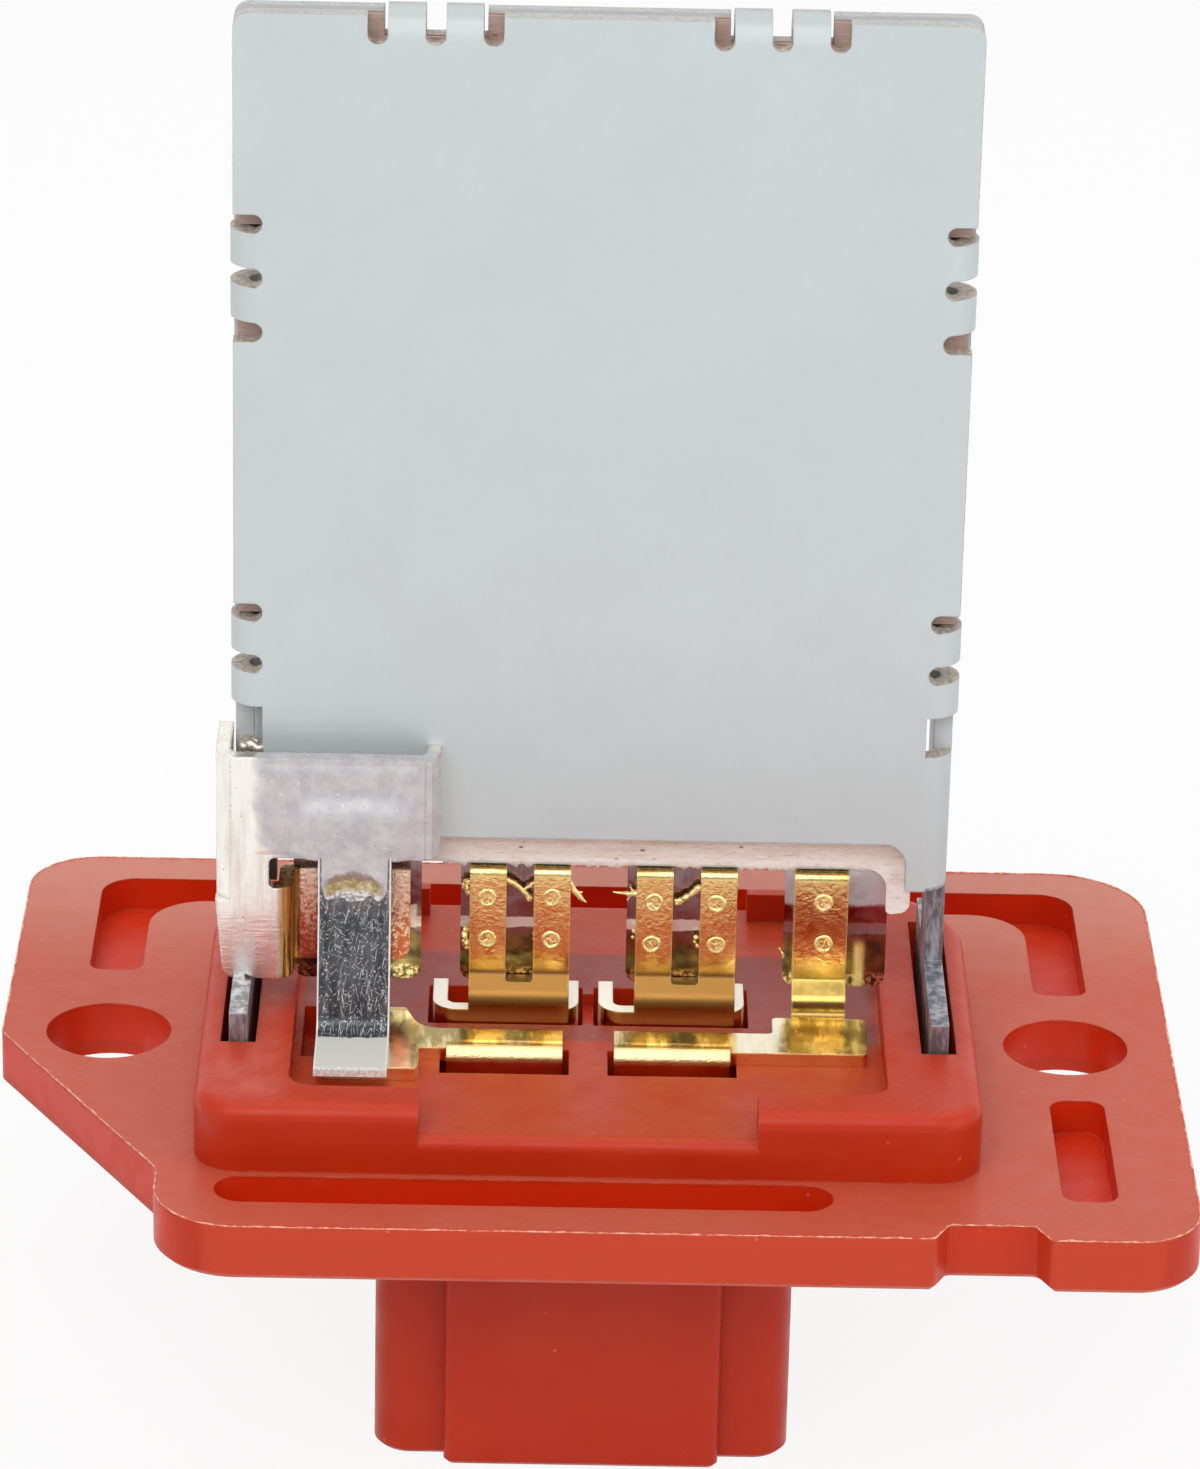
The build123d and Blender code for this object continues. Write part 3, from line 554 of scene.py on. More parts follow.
def foil_material():
    """Mirror-like foil with painted reflections: purple above, a bright crease, olive below."""
    g = Graph("bright_foil")
    wave = g.noise((1.4, 1.0, 0.8), detail=3, rough=0.6, shift=3.0)
    height = g.total(g.z, g.both(wave, 0.5))
    roll = g.noise((0.12, 1.0, 4.0), detail=3, rough=0.6)
    # Painted reflection: the foil is painted in purple greys that stand for what it mirrors.
    color = g.mix(g.ramp(roll, 0.3, 0.7), srgb(132, 106, 108), srgb(150, 124, 126))
    # Painted reflection: a bright band along the crease and by the outer edge.
    crease = g.band(height, 7.5, 8.05, 0.1)
    outer = g.both(g.ramp(g.x, -9.4, -9.6), g.band(height, 7.4, 8.7, 0.12))
    shiny = g.most(crease, outer)
    # Painted reflection: the foil is painted olive below the crease.
    cloud = g.noise(0.9, detail=4, shift=6.0)
    olive = g.mix(g.ramp(cloud, 0.35, 0.65), srgb(98, 92, 70), srgb(142, 124, 84))
    color = g.mix(g.ramp(height, 7.3, 6.9), color, olive)
    # Painted reflection on the last tongue: reddish at the crease, grey sky above, and a painted
    # gold glint.
    last = g.ramp(g.x, 9.0, 9.4)
    color = g.mix(g.both(last, g.ramp(height, 7.3, 8.3)), color, srgb(160, 100, 100))
    sky = g.both(last, g.ramp(height, 9.0, 9.3))
    color = g.mix(sky, color, srgb(196, 200, 204))
    # Painted reflection: the bright crease band, left off the last tongue.
    color = g.mix(g.both(shiny, g.blend(last, 1.0, 0.0)), color, srgb(226, 222, 218))
    glint = g.both(last, g.band(g.x, 14.7, 14.9, 0.35), g.ramp(height, 7.5, 6.5, 0.0, 0.8))
    color = g.mix(glint, color, srgb(246, 230, 160))
    tip = g.both(g.ramp(g.z, 5.0, 4.6), g.ramp(g.noise(0.25, detail=2), 0.45, 0.55))
    color = g.mix(tip, color, srgb(236, 220, 170))
    smoke = g.noise(1.4, detail=4, rough=0.65, shift=6.0)
    color = g.mix(g.ramp(smoke, 0.55, 0.75, 0.0, 0.4), color, srgb(104, 80, 64))
    g.bump(g.noise(2.2, detail=2), 0.06)
    g.bump(roll, 0.004)
    rough = g.ramp(smoke, 0.3, 0.7, 0.1, 0.26)
    return g.finish(color, rough, metallic=g.blend(g.most(shiny, sky, glint), 1.0, 0.5))


def bead_material():
    """Rough bright brass of the weld marks and the spatter."""
    g = Graph("weld_brass")
    cloud = g.noise(0.4, detail=4, rough=0.7)
    color = g.mix(g.ramp(cloud, 0.35, 0.65), srgb(238, 196, 104), srgb(255, 240, 176))
    speckle = g.noise(0.14, detail=3, rough=0.7, shift=3.0)
    color = g.mix(g.ramp(speckle, 0.52, 0.68, 0.0, 0.7), color, srgb(255, 250, 226))
    g.bump(speckle, 0.04)
    return g.finish(color, g.ramp(cloud, 0.3, 0.7, 0.18, 0.32), metallic=0.75)


def brass_material():
    """Rolled brass with stains, bright cut edges, grained fingers, painted highlights on edges and
    bends, and painted reflections on the lower fingers and the dark finger tops.
    """
    g = Graph("terminal_brass", edge_radius=0.16)
    cloud = g.noise((1.6, 1.6, 2.4), detail=4, rough=0.6)
    color = g.mix(g.ramp(cloud, 0.35, 0.7), srgb(240, 212, 146), srgb(234, 192, 116))
    stain = g.noise(0.7, detail=5, rough=0.7, shift=8.0)
    color = g.mix(g.ramp(stain, 0.6, 0.78, 0.0, 0.45), color, srgb(170, 118, 62))
    upper = g.ramp(g.z, 5.2, 6.4)
    speckle = g.noise(0.14, detail=3, rough=0.7, shift=3.0)
    color = g.mix(g.both(upper, g.ramp(speckle, 0.6, 0.7, 0.0, 0.7)), color, srgb(255, 222, 160))
    rear = g.over(g.y, -3.2)
    # Painted reflection: the lower fingers are painted olive and brown, as the dark card and
    # plastic they mirror.
    fade = g.both(g.ramp(g.z, 6.2, 4.8), g.under(g.ny, -0.3), rear)
    color = g.mix(g.both(fade, 0.75), color, srgb(186, 154, 66))
    joggle = g.both(g.band(g.z, 3.5, 4.75, 0.45), rear, g.ramp(g.x, 9.0, 8.6))
    color = g.mix(g.both(joggle, 0.9), color, srgb(142, 98, 50))
    root = g.both(g.ramp(g.z, 4.9, 4.3), rear, g.ramp(g.x, 8.6, 9.0))
    color = g.mix(g.both(root, 0.9), color, srgb(186, 154, 84))
    top = g.over(g.nz, 0.9)
    flat = g.band(g.z, TERMINAL_TOP - 0.05, TERMINAL_TOP + 0.05, 0.02)
    ahead = g.under(g.y, -3.0)
    rim = g.both(top, flat, g.over(g.y, -2.75), g.under(g.x, 9.2))
    ends = g.most(g.ramp(g.x, -9.4, -9.8), g.band(g.x, 8.2, 10.6, 0.3))
    arm = g.both(top, flat, ahead, ends)
    lip = g.both(top, ahead)
    patch = g.noise((0.9, 4.0, 4.0), detail=3, rough=0.6, shift=12.0)
    shade = g.mix(g.ramp(patch, 0.42, 0.58), srgb(136, 118, 62), srgb(232, 214, 160))
    color = g.mix(g.both(lip, 0.75), color, shade)
    # Painted highlight: the arms' top faces are painted near white.
    color = g.mix(g.both(arm, 0.8), color, srgb(252, 244, 220))
    # Painted reflection: the finger tops are painted dark olive, as the mica and plate they
    # mirror.
    crown = g.both(top, g.ramp(g.z, 9.0, 9.2))
    top_reflection = g.mix(g.ramp(speckle, 0.45, 0.6), srgb(70, 60, 20), srgb(168, 150, 64))
    color = g.mix(g.both(crown, 0.9), color, top_reflection)
    # Painted highlight: the lips' rounded front bend is painted pale.
    rolled_edge = g.both(g.band(g.y, -7.6, -7.0, 0.1), g.ramp(g.z, 2.2, 2.5))
    rolled_edge = g.both(rolled_edge, g.ramp(g.nz, 0.97, 0.9), g.ramp(g.nz, 0.05, 0.2))
    color = g.mix(g.both(rolled_edge, 0.6), color, srgb(255, 240, 190))
    side = g.both(g.over(g.absolute(g.nx), 0.9), g.ramp(g.z, 1.5, TRAY_FLOOR))
    # Thin yellow lines along the rounded edges are a painted highlight; the cut faces are painted
    # bright bare metal.
    line = g.both(g.edge, g.most(g.ramp(g.z, 4.0, 4.3), root))
    cut = g.most(rim, g.both(side, 0.6), g.both(line, 0.95))
    color = g.mix(cut, color, g.mix(line, srgb(255, 248, 232), srgb(255, 232, 130)))
    rolled = g.noise((0.1, 2.0, 1.2), detail=3, rough=0.6, shift=5.0)
    g.bump(rolled, 0.002)
    g.bump(g.both(upper, g.noise(0.3, detail=3, rough=0.6, shift=2.0)), 0.024)
    stipple = g.noise(0.12, detail=2, rough=0.6, shift=7.0)
    g.bump(g.both(rolled_edge, stipple), 0.06)
    g.bump(g.noise(1.6, detail=1), 0.02)
    rough = g.ramp(stain, 0.3, 0.7, 0.12, 0.24)
    rough = g.blend(g.most(cut, rolled_edge, joggle), rough, 0.4)
    return g.finish(color, rough, metallic=g.blend(cut, 1.0, 0.35))


def wet_metal(g):
    """Matt lavender grey where solder has run over the tinned sheet, with dull sparkles."""
    blotch = g.noise(0.9, detail=5, rough=0.7, shift=11.0)
    color = g.mix(g.ramp(blotch, 0.3, 0.7), srgb(190, 188, 193), srgb(212, 210, 211))
    warm = g.noise(2.2, detail=3, rough=0.6, shift=17.0)
    color = g.mix(g.ramp(warm, 0.5, 0.75, 0.0, 0.6), color, srgb(216, 206, 200))
    freckle = g.cells(0.55, shift=6.0)
    color = g.mix(g.ramp(freckle, 0.06, 0.16, 0.4, 0.0), color, srgb(156, 148, 150))
    sparkle = g.cells(0.8, shift=13.0)
    return g.mix(g.ramp(sparkle, 0.05, 0.1, 0.7, 0.0), color, srgb(244, 242, 240))


def tin_face(g, where=1.0):
    """Colour, roughness and metal share of tinned sheet, matt where solder has wetted it."""
    streak = g.noise((0.5, 1.0, 3.5), detail=4, rough=0.6)
    color = g.mix(g.ramp(streak, 0.35, 0.7), srgb(250, 247, 240), srgb(238, 230, 219))
    pit = g.cells(0.7, shift=3.0)
    color = g.mix(g.ramp(pit, 0.05, 0.12, 0.5, 0.0), color, srgb(150, 132, 118))
    drift = g.both(g.noise(1.6, detail=4, rough=0.6, shift=1.0), 1.6)
    retreat = g.ramp(g.z, 13.8, 12.6, 0.0, 1.3)
    shore = g.math("SUBTRACT", g.total(g.x, drift), retreat)
    wet = g.both(where, g.ramp(shore, -17.6, -16.8))
    color = g.mix(wet, color, wet_metal(g))
    rough = g.blend(wet, g.ramp(streak, 0.3, 0.7, 0.2, 0.32), 0.5)
    g.bump(g.noise(0.9, detail=2, rough=0.5), 0.012)
    return color, rough, g.blend(wet, 0.95, 0.3)


def tinned_material():
    """Fuse bracket: solder-wetted face, rippled leg, cheek painted with a gold-brown reflection,
    coppery weld tab.
    """
    g = Graph("tinned_sheet", edge_radius=0.2)
    face = g.both(g.under(g.y, -3.3), g.ramp(g.z, 12.0, 12.6))
    color, rough, metal = tin_face(g, face)
    below = g.ramp(g.z, 12.6, 12.0)
    tab = g.both(g.over(g.y, -3.6), g.ramp(g.x, -17.2, -16.6), below)
    mottle = g.noise(0.3, detail=4, rough=0.65, shift=4.0)
    paler_above = g.both(g.math("SUBTRACT", g.z, 9.5), 0.045)
    copper = g.ramp(g.total(mottle, paler_above), 0.36, 0.5)
    copper = g.mix(copper, srgb(214, 124, 88), srgb(254, 232, 208))
    # Painted highlight: the weld tab's edges are painted pale.
    copper = g.mix(g.edge, copper, srgb(255, 238, 186))
    color = g.mix(tab, color, copper)
    # Painted reflection: the cheek is painted in gold-brown bands.
    cheek = g.both(g.band(g.x, -17.2, -15.9, 0.1), g.band(g.y, -4.4, -1.4, 0.1), below)
    grain = g.noise((0.2, 0.12, 4.0), detail=3, rough=0.6, shift=9.0)
    gold = g.mix(g.ramp(grain, 0.4, 0.6), srgb(222, 182, 112), srgb(140, 90, 50))
    color = g.mix(cheek, color, gold)
    nicks = g.ramp(g.noise(0.4, detail=3, shift=8.0), 0.5, 0.62)
    dark_edge = g.both(g.edge, g.without(tab), nicks, 0.55)
    color = g.mix(dark_edge, color, srgb(120, 112, 112))
    ripple = g.noise((1.6, 1.0, 0.16), detail=3, rough=0.6, shift=5.0, bend=0.3)
    leg = g.both(g.ramp(g.z, 10.0, 8.0), g.without(tab))
    g.bump(g.both(ripple, leg), 0.02)
    g.bump(g.both(mottle, tab), 0.035)
    return g.finish(color, rough, metallic=metal)


def strip_material():
    """Dark scratched spring strip with a painted dark reflection on its bend, painted highlights
    on its borders and a pale foot.
    """
    g = Graph("spring_strip", edge_radius=0.05)
    cloud = g.noise((0.5, 1.0, 3.0), detail=4, rough=0.7)
    color = g.mix(g.ramp(cloud, 0.35, 0.7), srgb(84, 86, 90), srgb(126, 128, 132))
    # Painted reflection: the strip is painted darker on the tilted faces of its bend.
    bend = g.both(g.ramp(g.nz, 0.3, 0.45), g.ramp(g.nz, 0.98, 0.9))
    color = g.mix(g.both(bend, 0.85), color, srgb(50, 52, 56))
    lines = g.scratches("Y", 78, 2.6, 0.12, 0.0, 0.22)
    for i, angle in enumerate((14, 41, 112, 152, 63, 97, 84)):
        more = g.scratches("Y", angle, 0.6 + 0.35 * i, 0.1, 2.3 * i + 1.0, 0.2)
        lines = g.most(lines, more)
    patch = g.noise((1.1, 1.0, 1.4), detail=3, rough=0.6, shift=9.0)
    lines = g.both(lines, g.ramp(patch, 0.36, 0.56, 0.4, 1.0))
    dust = g.ramp(g.noise(0.16, detail=2, rough=0.6, shift=5.0), 0.62, 0.7)
    marks = g.most(lines, g.both(dust, 0.6))
    color = g.mix(marks, color, srgb(252, 252, 250))
    icy = g.total(g.z, g.both(g.noise(0.5, detail=4, rough=0.7, shift=6.0), 1.6))
    crystals = g.ramp(g.noise(0.14, detail=2, shift=7.0), 0.4, 0.5)
    marks = g.most(marks, g.both(g.ramp(icy, 10.9, 11.5), crystals))
    ragged = g.total(g.z, g.both(g.noise(0.4, detail=3, shift=2.0), 0.7))
    tooth = g.total(g.y, g.both(g.noise(0.35, detail=3, shift=3.0), 0.5))
    foot = g.both(g.ramp(ragged, 4.6, 4.4), g.ramp(tooth, -7.0, -7.15))
    color = g.mix(foot, color, srgb(218, 218, 212))
    chips = g.ramp(g.noise(0.18, detail=2, shift=4.0), 0.45, 0.55)
    color = g.mix(g.both(g.ramp(g.y, -10.8, -11.1), chips), color, srgb(246, 244, 240))
    # Painted highlight: the strip's ends and side borders are painted near white.
    ends = g.over(g.absolute(g.nx), 0.8)
    border = g.most(ends, g.rim(g.x, STRIP_MIDDLE, 1.95, 0.05))
    color = g.mix(border, color, srgb(244, 242, 238))
    g.bump(lines, 0.012)
    plain = g.most(foot, border)
    rough = g.blend(marks, g.blend(plain, 0.3, 0.55), 0.35)
    metal = g.both(g.without(g.most(plain, marks)), 0.9)
    return g.finish(color, rough, metallic=metal)


def solder_material():
    """Solder like the bracket's face, with a burnt flux stain and frost at its lower edge."""
    g = Graph("solder")
    color, rough, metal = tin_face(g)
    stain_x, stain_reach = -12.85, 1.5
    across = g.math("DIVIDE", g.total(g.x, -stain_x), stain_reach)
    sag = g.both(g.both(across, across), 0.5)
    ragged = g.both(g.noise(0.5, detail=4, rough=0.7, shift=2.0), 0.9)
    height = g.math("SUBTRACT", g.total(g.total(g.z, sag), ragged), 0.45)
    middle = g.ramp(g.absolute(across), 1.2, 0.8)
    olive = g.noise(0.45, detail=4, rough=0.7, shift=5.0)
    flux = g.mix(g.ramp(olive, 0.4, 0.62), srgb(168, 146, 84), srgb(218, 206, 172))
    color = g.mix(g.both(middle, g.band(height, 11.2, 11.8, 0.35)), color, flux)
    burnt = g.both(middle, g.band(height, 11.9, 12.0, 0.3), g.ramp(olive, 0.25, 0.55, 0.2, 0.8))
    color = g.mix(burnt, color, srgb(126, 100, 82))
    frost = g.ramp(height, 11.25, 10.95)
    crystals = g.ramp(g.noise(0.2, detail=3, shift=8.0), 0.38, 0.55)
    icy = g.mix(crystals, srgb(160, 162, 164), srgb(244, 244, 242))
    color = g.mix(frost, color, icy)
    g.bump(g.both(frost, g.noise(0.3, detail=3, rough=0.6, shift=4.0)), 0.04)
    metal = g.both(metal, g.ramp(g.z, 12.9, 13.6, 0.2, 1.0))
    return g.finish(color, g.blend(frost, rough, 0.36), metallic=metal)


def dress(node, material):
    data = nodes[node].data
    data.materials.clear()
    data.materials.append(material)


# Pieces that dress the solids, in millimetres of the row frame


def corner(node, end):
    """Lowest corner of a node's box for end 0, highest for end 1."""
    return Vector(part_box(node)[end]) / MM


BRACKET_LOW, BRACKET_HIGH = corner("fuse_bracket", 0), corner("fuse_bracket", 1)
STRIP_LOW, STRIP_HIGH = corner("fuse_strip", 0), corner("fuse_strip", 1)
SOLDER_LEFT, SOLDER_RIGHT = BRACKET_LOW.x + 1.6, BRACKET_HIGH.x - 0.5
SOLDER_BOTTOM, SOLDER_TOP = 9.9, BRACKET_HIGH.z - 0.1
SOLDER_STEP = 0.12
FLASH_STEP = 0.12


def ease(value):
    """Smooth step from 0 to 1."""
    value = min(max(value, 0.0), 1.0)
    return value * value * (3 - 2 * value)


def wobble(x, y, z, grain, seed=0.0):
    """Smooth noise between about -1 and 1 with grains of the size."""
    return noise.noise(Vector((x / grain + seed, y / grain - seed, z / grain + 2 * seed)))


def add_piece(name, work, material):
    """Turns the bmesh, drawn in millimetres, into a piece that rides on the root."""
    bmesh.ops.recalc_face_normals(work, faces=work.faces)
    bmesh.ops.scale(work, vec=Vector((MM, MM, MM)), verts=work.verts)
    for face in work.faces:
        face.smooth = True
    mesh = bpy.data.meshes.new(name)
    work.to_mesh(mesh)
    work.free()
    mesh.materials.append(material)
    piece = bpy.data.objects.new(name, mesh)
    bpy.context.scene.collection.objects.link(piece)
    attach(piece, "root")
    return piece


def solder_height(x, z):
    """How far the solder stands out from the bracket's face."""
    left, right, top = STRIP_LOW.x, STRIP_HIGH.x, STRIP_HIGH.z
    side = min(x - SOLDER_LEFT, SOLDER_RIGHT - x)
    border = min(side / 1.2, (SOLDER_TOP - z) / 0.7, (z - BRACKET_BOTTOM) / 0.5)
    film = -0.05 + 0.14 * ease(border) + 0.02 * wobble(x, 0, z, 0.9)
    beside = max(left - x, x - right, 0.0)
    away = (beside * beside + max(z - top, 0.0) ** 2) ** 0.5
    bulge = film + (STRIP_THICKNESS + 0.12 - film) * ease(1 - away / 1.5) * ease(border + 0.6)
    across = (x - (left + right) / 2) / ((right - left) / 2)
    end = 10.05 + 0.35 * across * across + 0.35 * wobble(x, 1, 0, 0.7)
    inside = ease(min(x - left, right - x) / 0.5)
    tongue = STRIP_THICKNESS - 0.06 + 0.18 * ease((z - end) / 1.3) * inside
    tongue += 0.03 * wobble(x, 2, z, 0.35) * inside
    share = ease((z - BRACKET_BOTTOM) / 0.9)
    if beside > 0 or z > top:
        return bulge
    return tongue + (max(bulge, tongue) - tongue) * share


def add_solder():
    """Solder that feathers into the bracket's face and covers the top of the spring strip."""
    columns = round((SOLDER_RIGHT - SOLDER_LEFT) / SOLDER_STEP)
    rows = round((SOLDER_TOP - SOLDER_BOTTOM) / SOLDER_STEP)
    inset = 0.06
    work = bmesh.new()
    grid = {}
    for i in range(columns + 1):
        for j in range(rows + 1):
            x, z = SOLDER_LEFT + i * SOLDER_STEP, SOLDER_BOTTOM + j * SOLDER_STEP
            on_strip = STRIP_LOW.x + inset < x < STRIP_HIGH.x - inset
            if z < BRACKET_BOTTOM and not on_strip:
                continue
            y = BRACKET_LOW.y - solder_height(x, z)
            grid[i, j] = work.verts.new((x, y, z))
    for i, j in grid:
        corners = [grid.get(key) for key in ((i, j), (i + 1, j), (i + 1, j + 1), (i, j + 1))]
        if all(corners):
            work.faces.new(corners)
    piece = add_piece("solder_joint", work, solder)
    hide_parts("fuse_solder")


def bridge(work, before, ring):
    """Faces between two closed rings of as many points."""
    for k, at in enumerate(ring):
        after = (k + 1) % len(ring)
        work.faces.new((before[k], at, ring[after], before[after]))


# Radius and height of the rings of a spot weld, then of its foot, which is sunk into the finger
WELD_RINGS = [(0.1, 0.01), (0.2, 0.008), (0.3, 0.012), (0.38, 0.05), (0.43, 0.075), (0.49, 0.045)]
WELD_FOOT_RADIUS, WELD_FOOT_DEPTH = 0.56, 0.03
WELD_SPOKES = 22
WELD_FLOOR_RADIUS = 0.35
WELD_FLOOR_ROUGHNESS, WELD_RIM_ROUGHNESS = 0.09, 0.04

WELD_PLACES = [
    ((-5.65, 9.31), (-5.63, 6.84)),
    ((-2.12, 9.38), (-2.12, 6.85)),
    ((3.46, 9.2), (3.38, 6.68)),
    ((6.87, 9.2), (6.9, 6.72)),
    ((12.74, 9.38), (12.8, 6.9)),
]


def add_crater(work, x, z, seed):
    """Spot weld: a raised ring round a rough floor, on a finger's front face."""
    turns = [2 * pi * k / WELD_SPOKES for k in range(WELD_SPOKES)]

    def point(radius, turn):
        reach = radius * (1 + 0.1 * wobble(cos(turn), sin(turn), 0, 0.8, seed))
        return x + reach * cos(turn), z + reach * sin(turn)

    middle = work.verts.new((x, FINGER_FRONT - 0.02, z))
    before = None
    for radius, height in WELD_RINGS:
        rough = WELD_FLOOR_ROUGHNESS if radius < WELD_FLOOR_RADIUS else WELD_RIM_ROUGHNESS
        ring = []
        for turn in turns:
            a, b = point(radius, turn)
            rise = height * (1 + 0.5 * wobble(cos(turn), sin(turn), 0, 0.5, seed + 3))
            rise += rough * wobble(a, 0, b, 0.12, seed)
            ring.append(work.verts.new((a, FINGER_FRONT - rise, b)))
        if before:
            bridge(work, before, ring)
        else:
            for k, at in enumerate(ring):
                work.faces.new((middle, at, ring[(k + 1) % WELD_SPOKES]))
        before = ring
    foot = [point(WELD_FOOT_RADIUS, turn) for turn in turns]
    foot = [work.verts.new((a, FINGER_FRONT + WELD_FOOT_DEPTH, b)) for a, b in foot]
    bridge(work, before, foot)


def add_weld_marks():
    """Two spot welds on each finger."""
    work = bmesh.new()
    places = [place for finger in WELD_PLACES for place in finger]
    for i, (x, z) in enumerate(places):
        add_crater(work, x, z, 1.7 * i)
    add_piece("weld_marks", work, bead)


def add_sliver(work, path, seed):
    """Lumpy sliver of metal along points, each with its thickness."""
    spokes, cuts = 8, 5
    swell, unevenness, grain = 1.35, 0.6, 0.16
    rings = []
    for (a, size_a), (b, size_b) in zip(path, path[1:]):
        for k in range(cuts):
            share = k / cuts
            rings.append((a.lerp(b, share), size_a + (size_b - size_a) * share, b - a))
    rings.append((path[-1][0], path[-1][1], path[-1][0] - path[-2][0]))
    before = None
    for at, size, ahead in rings:
        side = ahead.cross(Vector((0, 1, 0))).normalized()
        up = side.cross(ahead).normalized()
        ring = []
        for k in range(spokes):
            turn = 2 * pi * k / spokes
            way = side * cos(turn) + up * sin(turn)
            uneven = 1 + unevenness * wobble(*(at + way * size), grain, seed)
            ring.append(work.verts.new(at + way * (swell * size * uneven)))
        if before:
            bridge(work, before, ring)
        else:
            work.faces.new(ring)
        before = ring
    work.faces.new(before)


def add_lump(work, place, size, seed):
    """Rough ball of metal, squashed a little, differently for each seed."""
    made = bmesh.ops.create_icosphere(work, subdivisions=3, radius=1.0)["verts"]
    squash = 0.3
    unevenness, grain = 0.35, 0.2
    stretch = Vector((1 + squash * wobble(seed, 0, 0, 1), 1, 1 - squash * wobble(0, seed, 0, 1)))
    for vert in made:
        way = vert.co.copy()
        reach = size * (1 + unevenness * wobble(*(way * size), grain, seed))
        vert.co = Vector(place) + way * stretch * reach


# Slivers beside the fingers: how far back, then x, z and thickness of each point
SLIVERS = [
    (-1.45, [(-4.75, 10.35, 0.1), (-4.2, 10.05, 0.13), (-3.7, 9.65, 0.09), (-3.35, 9.2, 0.15)]),
    (-1.45, [(-3.7, 9.65, 0.05), (-3.3, 9.95, 0.09), (-3.0, 10.2, 0.07)]),
    (-1.45, [(-1.2, 10.3, 0.1), (-0.95, 9.75, 0.13), (-0.6, 9.3, 0.1), (-0.22, 9.0, 0.03)]),
    (-1.45, [(-0.85, 9.55, 0.08), (-0.45, 9.6, 0.03)]),
    (-1.45, [(2.6, 9.6, 0.16), (2.1, 9.55, 0.1), (1.6, 9.6, 0.05), (1.2, 9.66, 0.02)]),
    (-1.45, [(2.2, 9.5, 0.07), (2.0, 9.15, 0.03)]),
    (-1.45, [(2.3, 9.7, 0.08), (2.15, 10.0, 0.03)]),
    (-1.45, [(6.05, 10.0, 0.12), (5.75, 9.9, 0.17), (5.4, 9.55, 0.11), (5.0, 9.3, 0.13)]),
    (-1.45, [(5.0, 9.3, 0.13), (4.75, 9.05, 0.15), (4.62, 9.3, 0.06)]),
    (-1.1, [(10.4, 6.3, 0.03), (10.65, 5.9, 0.07), (10.6, 5.6, 0.03)]),
    (-1.15, [(-10.75, 8.9, 0.05), (-10.3, 8.75, 0.07), (-9.9, 8.8, 0.03)]),
]

# Lumps on the fingers' sides: x, z and size
LUMP_Y = -1.45
LUMPS = [
    (-6.72, 10.1, 0.2),
    (-6.8, 9.8, 0.24),
    (-6.7, 9.5, 0.18),
    (-6.98, 9.95, 0.1),
    (-6.8, 7.25, 0.18),
    (-6.85, 6.9, 0.22),
    (-6.78, 6.45, 0.24),
    (-6.72, 6.2, 0.15),
    (-3.02, 7.05, 0.16),
    (-3.05, 6.75, 0.12),
    (2.42, 7.3, 0.14),
    (2.36, 6.95, 0.1),
    (5.82, 7.0, 0.15),
    (5.75, 6.75, 0.12),
    (5.9, 6.5, 0.14),
    (5.8, 9.98, 0.17),
    (-4.3, 10.1, 0.16),
    (-3.35, 9.2, 0.19),
]

# Burrs at the top of the left leg: place and size
BURRS = [
    ((-18.5, -2.0, 18.2), 0.32),
    ((-18.05, -2.05, 18.1), 0.26),
    ((-18.95, -1.9, 18.1), 0.24),
    ((-18.3, -1.7, 18.35), 0.22),
    ((-17.7, -2.0, 18.1), 0.18),
]


def add_spatter():
    """Metal thrown out by the welding, at the sides of the fingers and in their gaps."""
    work = bmesh.new()
    for i, (y, path) in enumerate(SLIVERS):
        add_sliver(work, [(Vector((x, y, z)), size) for x, z, size in path], 0.9 * i)
    for i, (x, z, size) in enumerate(LUMPS):
        add_lump(work, (x, LUMP_Y, z), size, 1.3 * i + 0.4)
    add_piece("weld_spatter", work, bead)


def add_burrs():
    """Bright burrs where the left leg leaves the plate, above the bracket."""
    work = bmesh.new()
    for i, (place, size) in enumerate(BURRS):
        add_lump(work, place, size, 2.1 * i + 0.7)
    add_piece("leg_burrs", work, tinned)


def outer_loop(node, level):
    """Points in order round the widest loop of edges that ends a solid's top face at the level."""
    mesh = nodes[node].data
    work = bmesh.new()
    work.from_mesh(mesh)
    bmesh.ops.remove_doubles(work, verts=work.verts, dist=1e-6)
    links = {}
    for edge in work.edges:
        heights = [vert.co.z / MM for vert in edge.verts]
        flat = max(abs(h - level) for h in heights) < 0.01
        tops = [face.normal.z > 0.99 for face in edge.link_faces]
        if flat and len(tops) == 2 and tops[0] != tops[1]:
            a, b = edge.verts
            links.setdefault(a, []).append(b)
            links.setdefault(b, []).append(a)
    loops = []
    while links:
        start = next(iter(links))
        loop, at = [start], start
        while at in links:
            onward = [vert for vert in links.pop(at) if vert in links]
            if not onward:
                break
            at = onward[0]
            loop.append(at)
        loops.append([vert.co.copy() / MM for vert in loop])
    work.free()
    return max(loops, key=lambda loop: max(p.x for p in loop) - min(p.x for p in loop))


def evenly(loop, step):
    """Points at even steps along the closed loop."""
    points = []
    for a, b in zip(loop, loop[1:] + loop[:1]):
        count = max(1, round((b - a).length / step))
        points += [a.lerp(b, k / count) for k in range(count)]
    return points


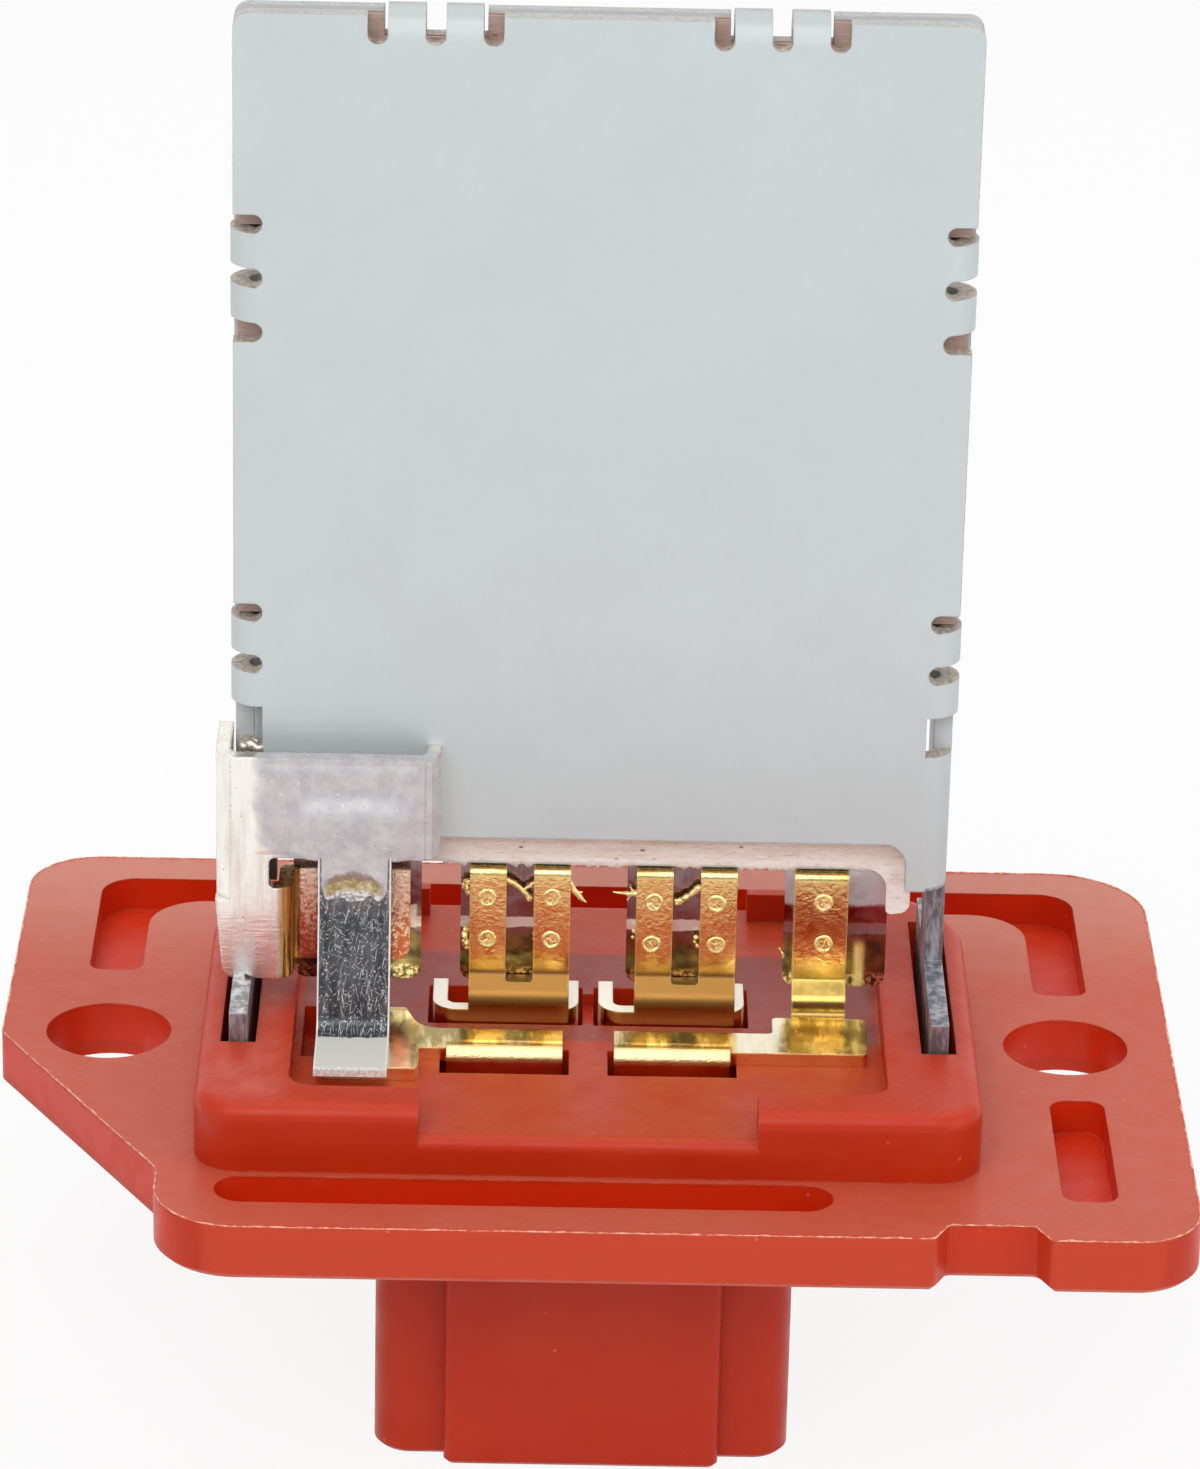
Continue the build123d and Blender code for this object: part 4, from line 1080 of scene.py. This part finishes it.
def add_mould_flash():
    """Thin broken bead of plastic along the outer top edge of the flange."""
    spokes, thinnest = 6, 0.02
    points = evenly(outer_loop("base_housing", FLANGE_TOP), FLASH_STEP)
    work = bmesh.new()
    before = None
    for i, at in enumerate(points):
        ahead = (points[(i + 1) % len(points)] - points[i - 1]).normalized()
        inward = Vector((-ahead.y, ahead.x, 0))
        if inward.dot(at) > 0:
            inward = -inward
        coarse = 0.04 * wobble(at.x, at.y, 0, 0.8, 2.0)
        fine = 0.025 * wobble(at.x, at.y, 0, 0.2, 5.0)
        size = 0.045 + coarse + fine
        if size < thinnest:
            before = None
            continue
        middle = at + inward * (size + 0.01) + Vector((0, 0, 0.3 * size))
        ring = []
        for k in range(spokes):
            turn = 2 * pi * k / spokes
            way = inward * size * cos(turn) + Vector((0, 0, size * sin(turn)))
            ring.append(work.verts.new(middle + way))
        if before:
            bridge(work, before, ring)
        before = ring
    add_piece("mould_flash", work, flash)


# Ends in x of the fingers, which cover the mica's edge
FINGERS = [(-6.7, -4.5), (-3.2, -1.0), (2.4, 4.6), (5.9, 8.1), (11.2, 14.3)]
FRINGE_LEFT, FRINGE_RIGHT = -8.1, 15.4
FRINGE_FRONT, FRINGE_BACK = -1.22, -1.02
FRINGE_ROOT = SHEET_EDGE + 0.15


def add_mica_fringe():
    """Torn flakes along the lower edge of the front mica sheet."""
    chance = random.Random(7)
    work = bmesh.new()
    before = None
    x = FRINGE_LEFT
    while x < FRINGE_RIGHT:
        covered = any(left < x < right for left, right in FINGERS)
        reach = 0.06 if covered else 0.05 + 0.3 * chance.random() ** 2
        ring = [
            work.verts.new((x, FRINGE_FRONT, FRINGE_ROOT)),
            work.verts.new((x, FRINGE_FRONT, SHEET_EDGE - reach)),
            work.verts.new((x, FRINGE_BACK, SHEET_EDGE - reach * 0.8)),
            work.verts.new((x, FRINGE_BACK, FRINGE_ROOT)),
        ]
        if before:
            for k in range(3):
                work.faces.new((before[k], ring[k], ring[k + 1], before[k + 1]))
        before = ring
        x += 0.06 + 0.14 * chance.random()
    add_piece("mica_fringe", work, mica)


# The object's looks, its added pieces and the picture

plastic = plastic_material()
flash = flash_material()
coated = coated_material()
mica = mica_material()
foil = foil_material()
brass = brass_material()
tinned = tinned_material()
strip = strip_material()
solder = solder_material()
bead = bead_material()

finishes = {
    "base_housing": plastic,
    "front_heat_plate": coated,
    "rear_heat_plate": coated,
    "front_insulator": mica,
    "rear_insulator": mica,
    "resistor_foil": foil,
    "rear_terminal_left": brass,
    "rear_terminal_right": brass,
    "front_terminal_left": brass,
    "front_terminal_right": brass,
    "fuse_bracket": tinned,
    "fuse_strip": strip,
    "fuse_solder": solder,
}
for node, material in finishes.items():
    dress(node, material)

add_solder()
add_weld_marks()
add_spatter()
add_burrs()
add_mica_fringe()
add_mould_flash()

add_camera()
add_world()
add_floor()
add_flag()
for lamp, settings in LAMPS.items():
    add_lamp(lamp, **settings)

bpy.context.scene.view_settings.view_transform = "Standard"
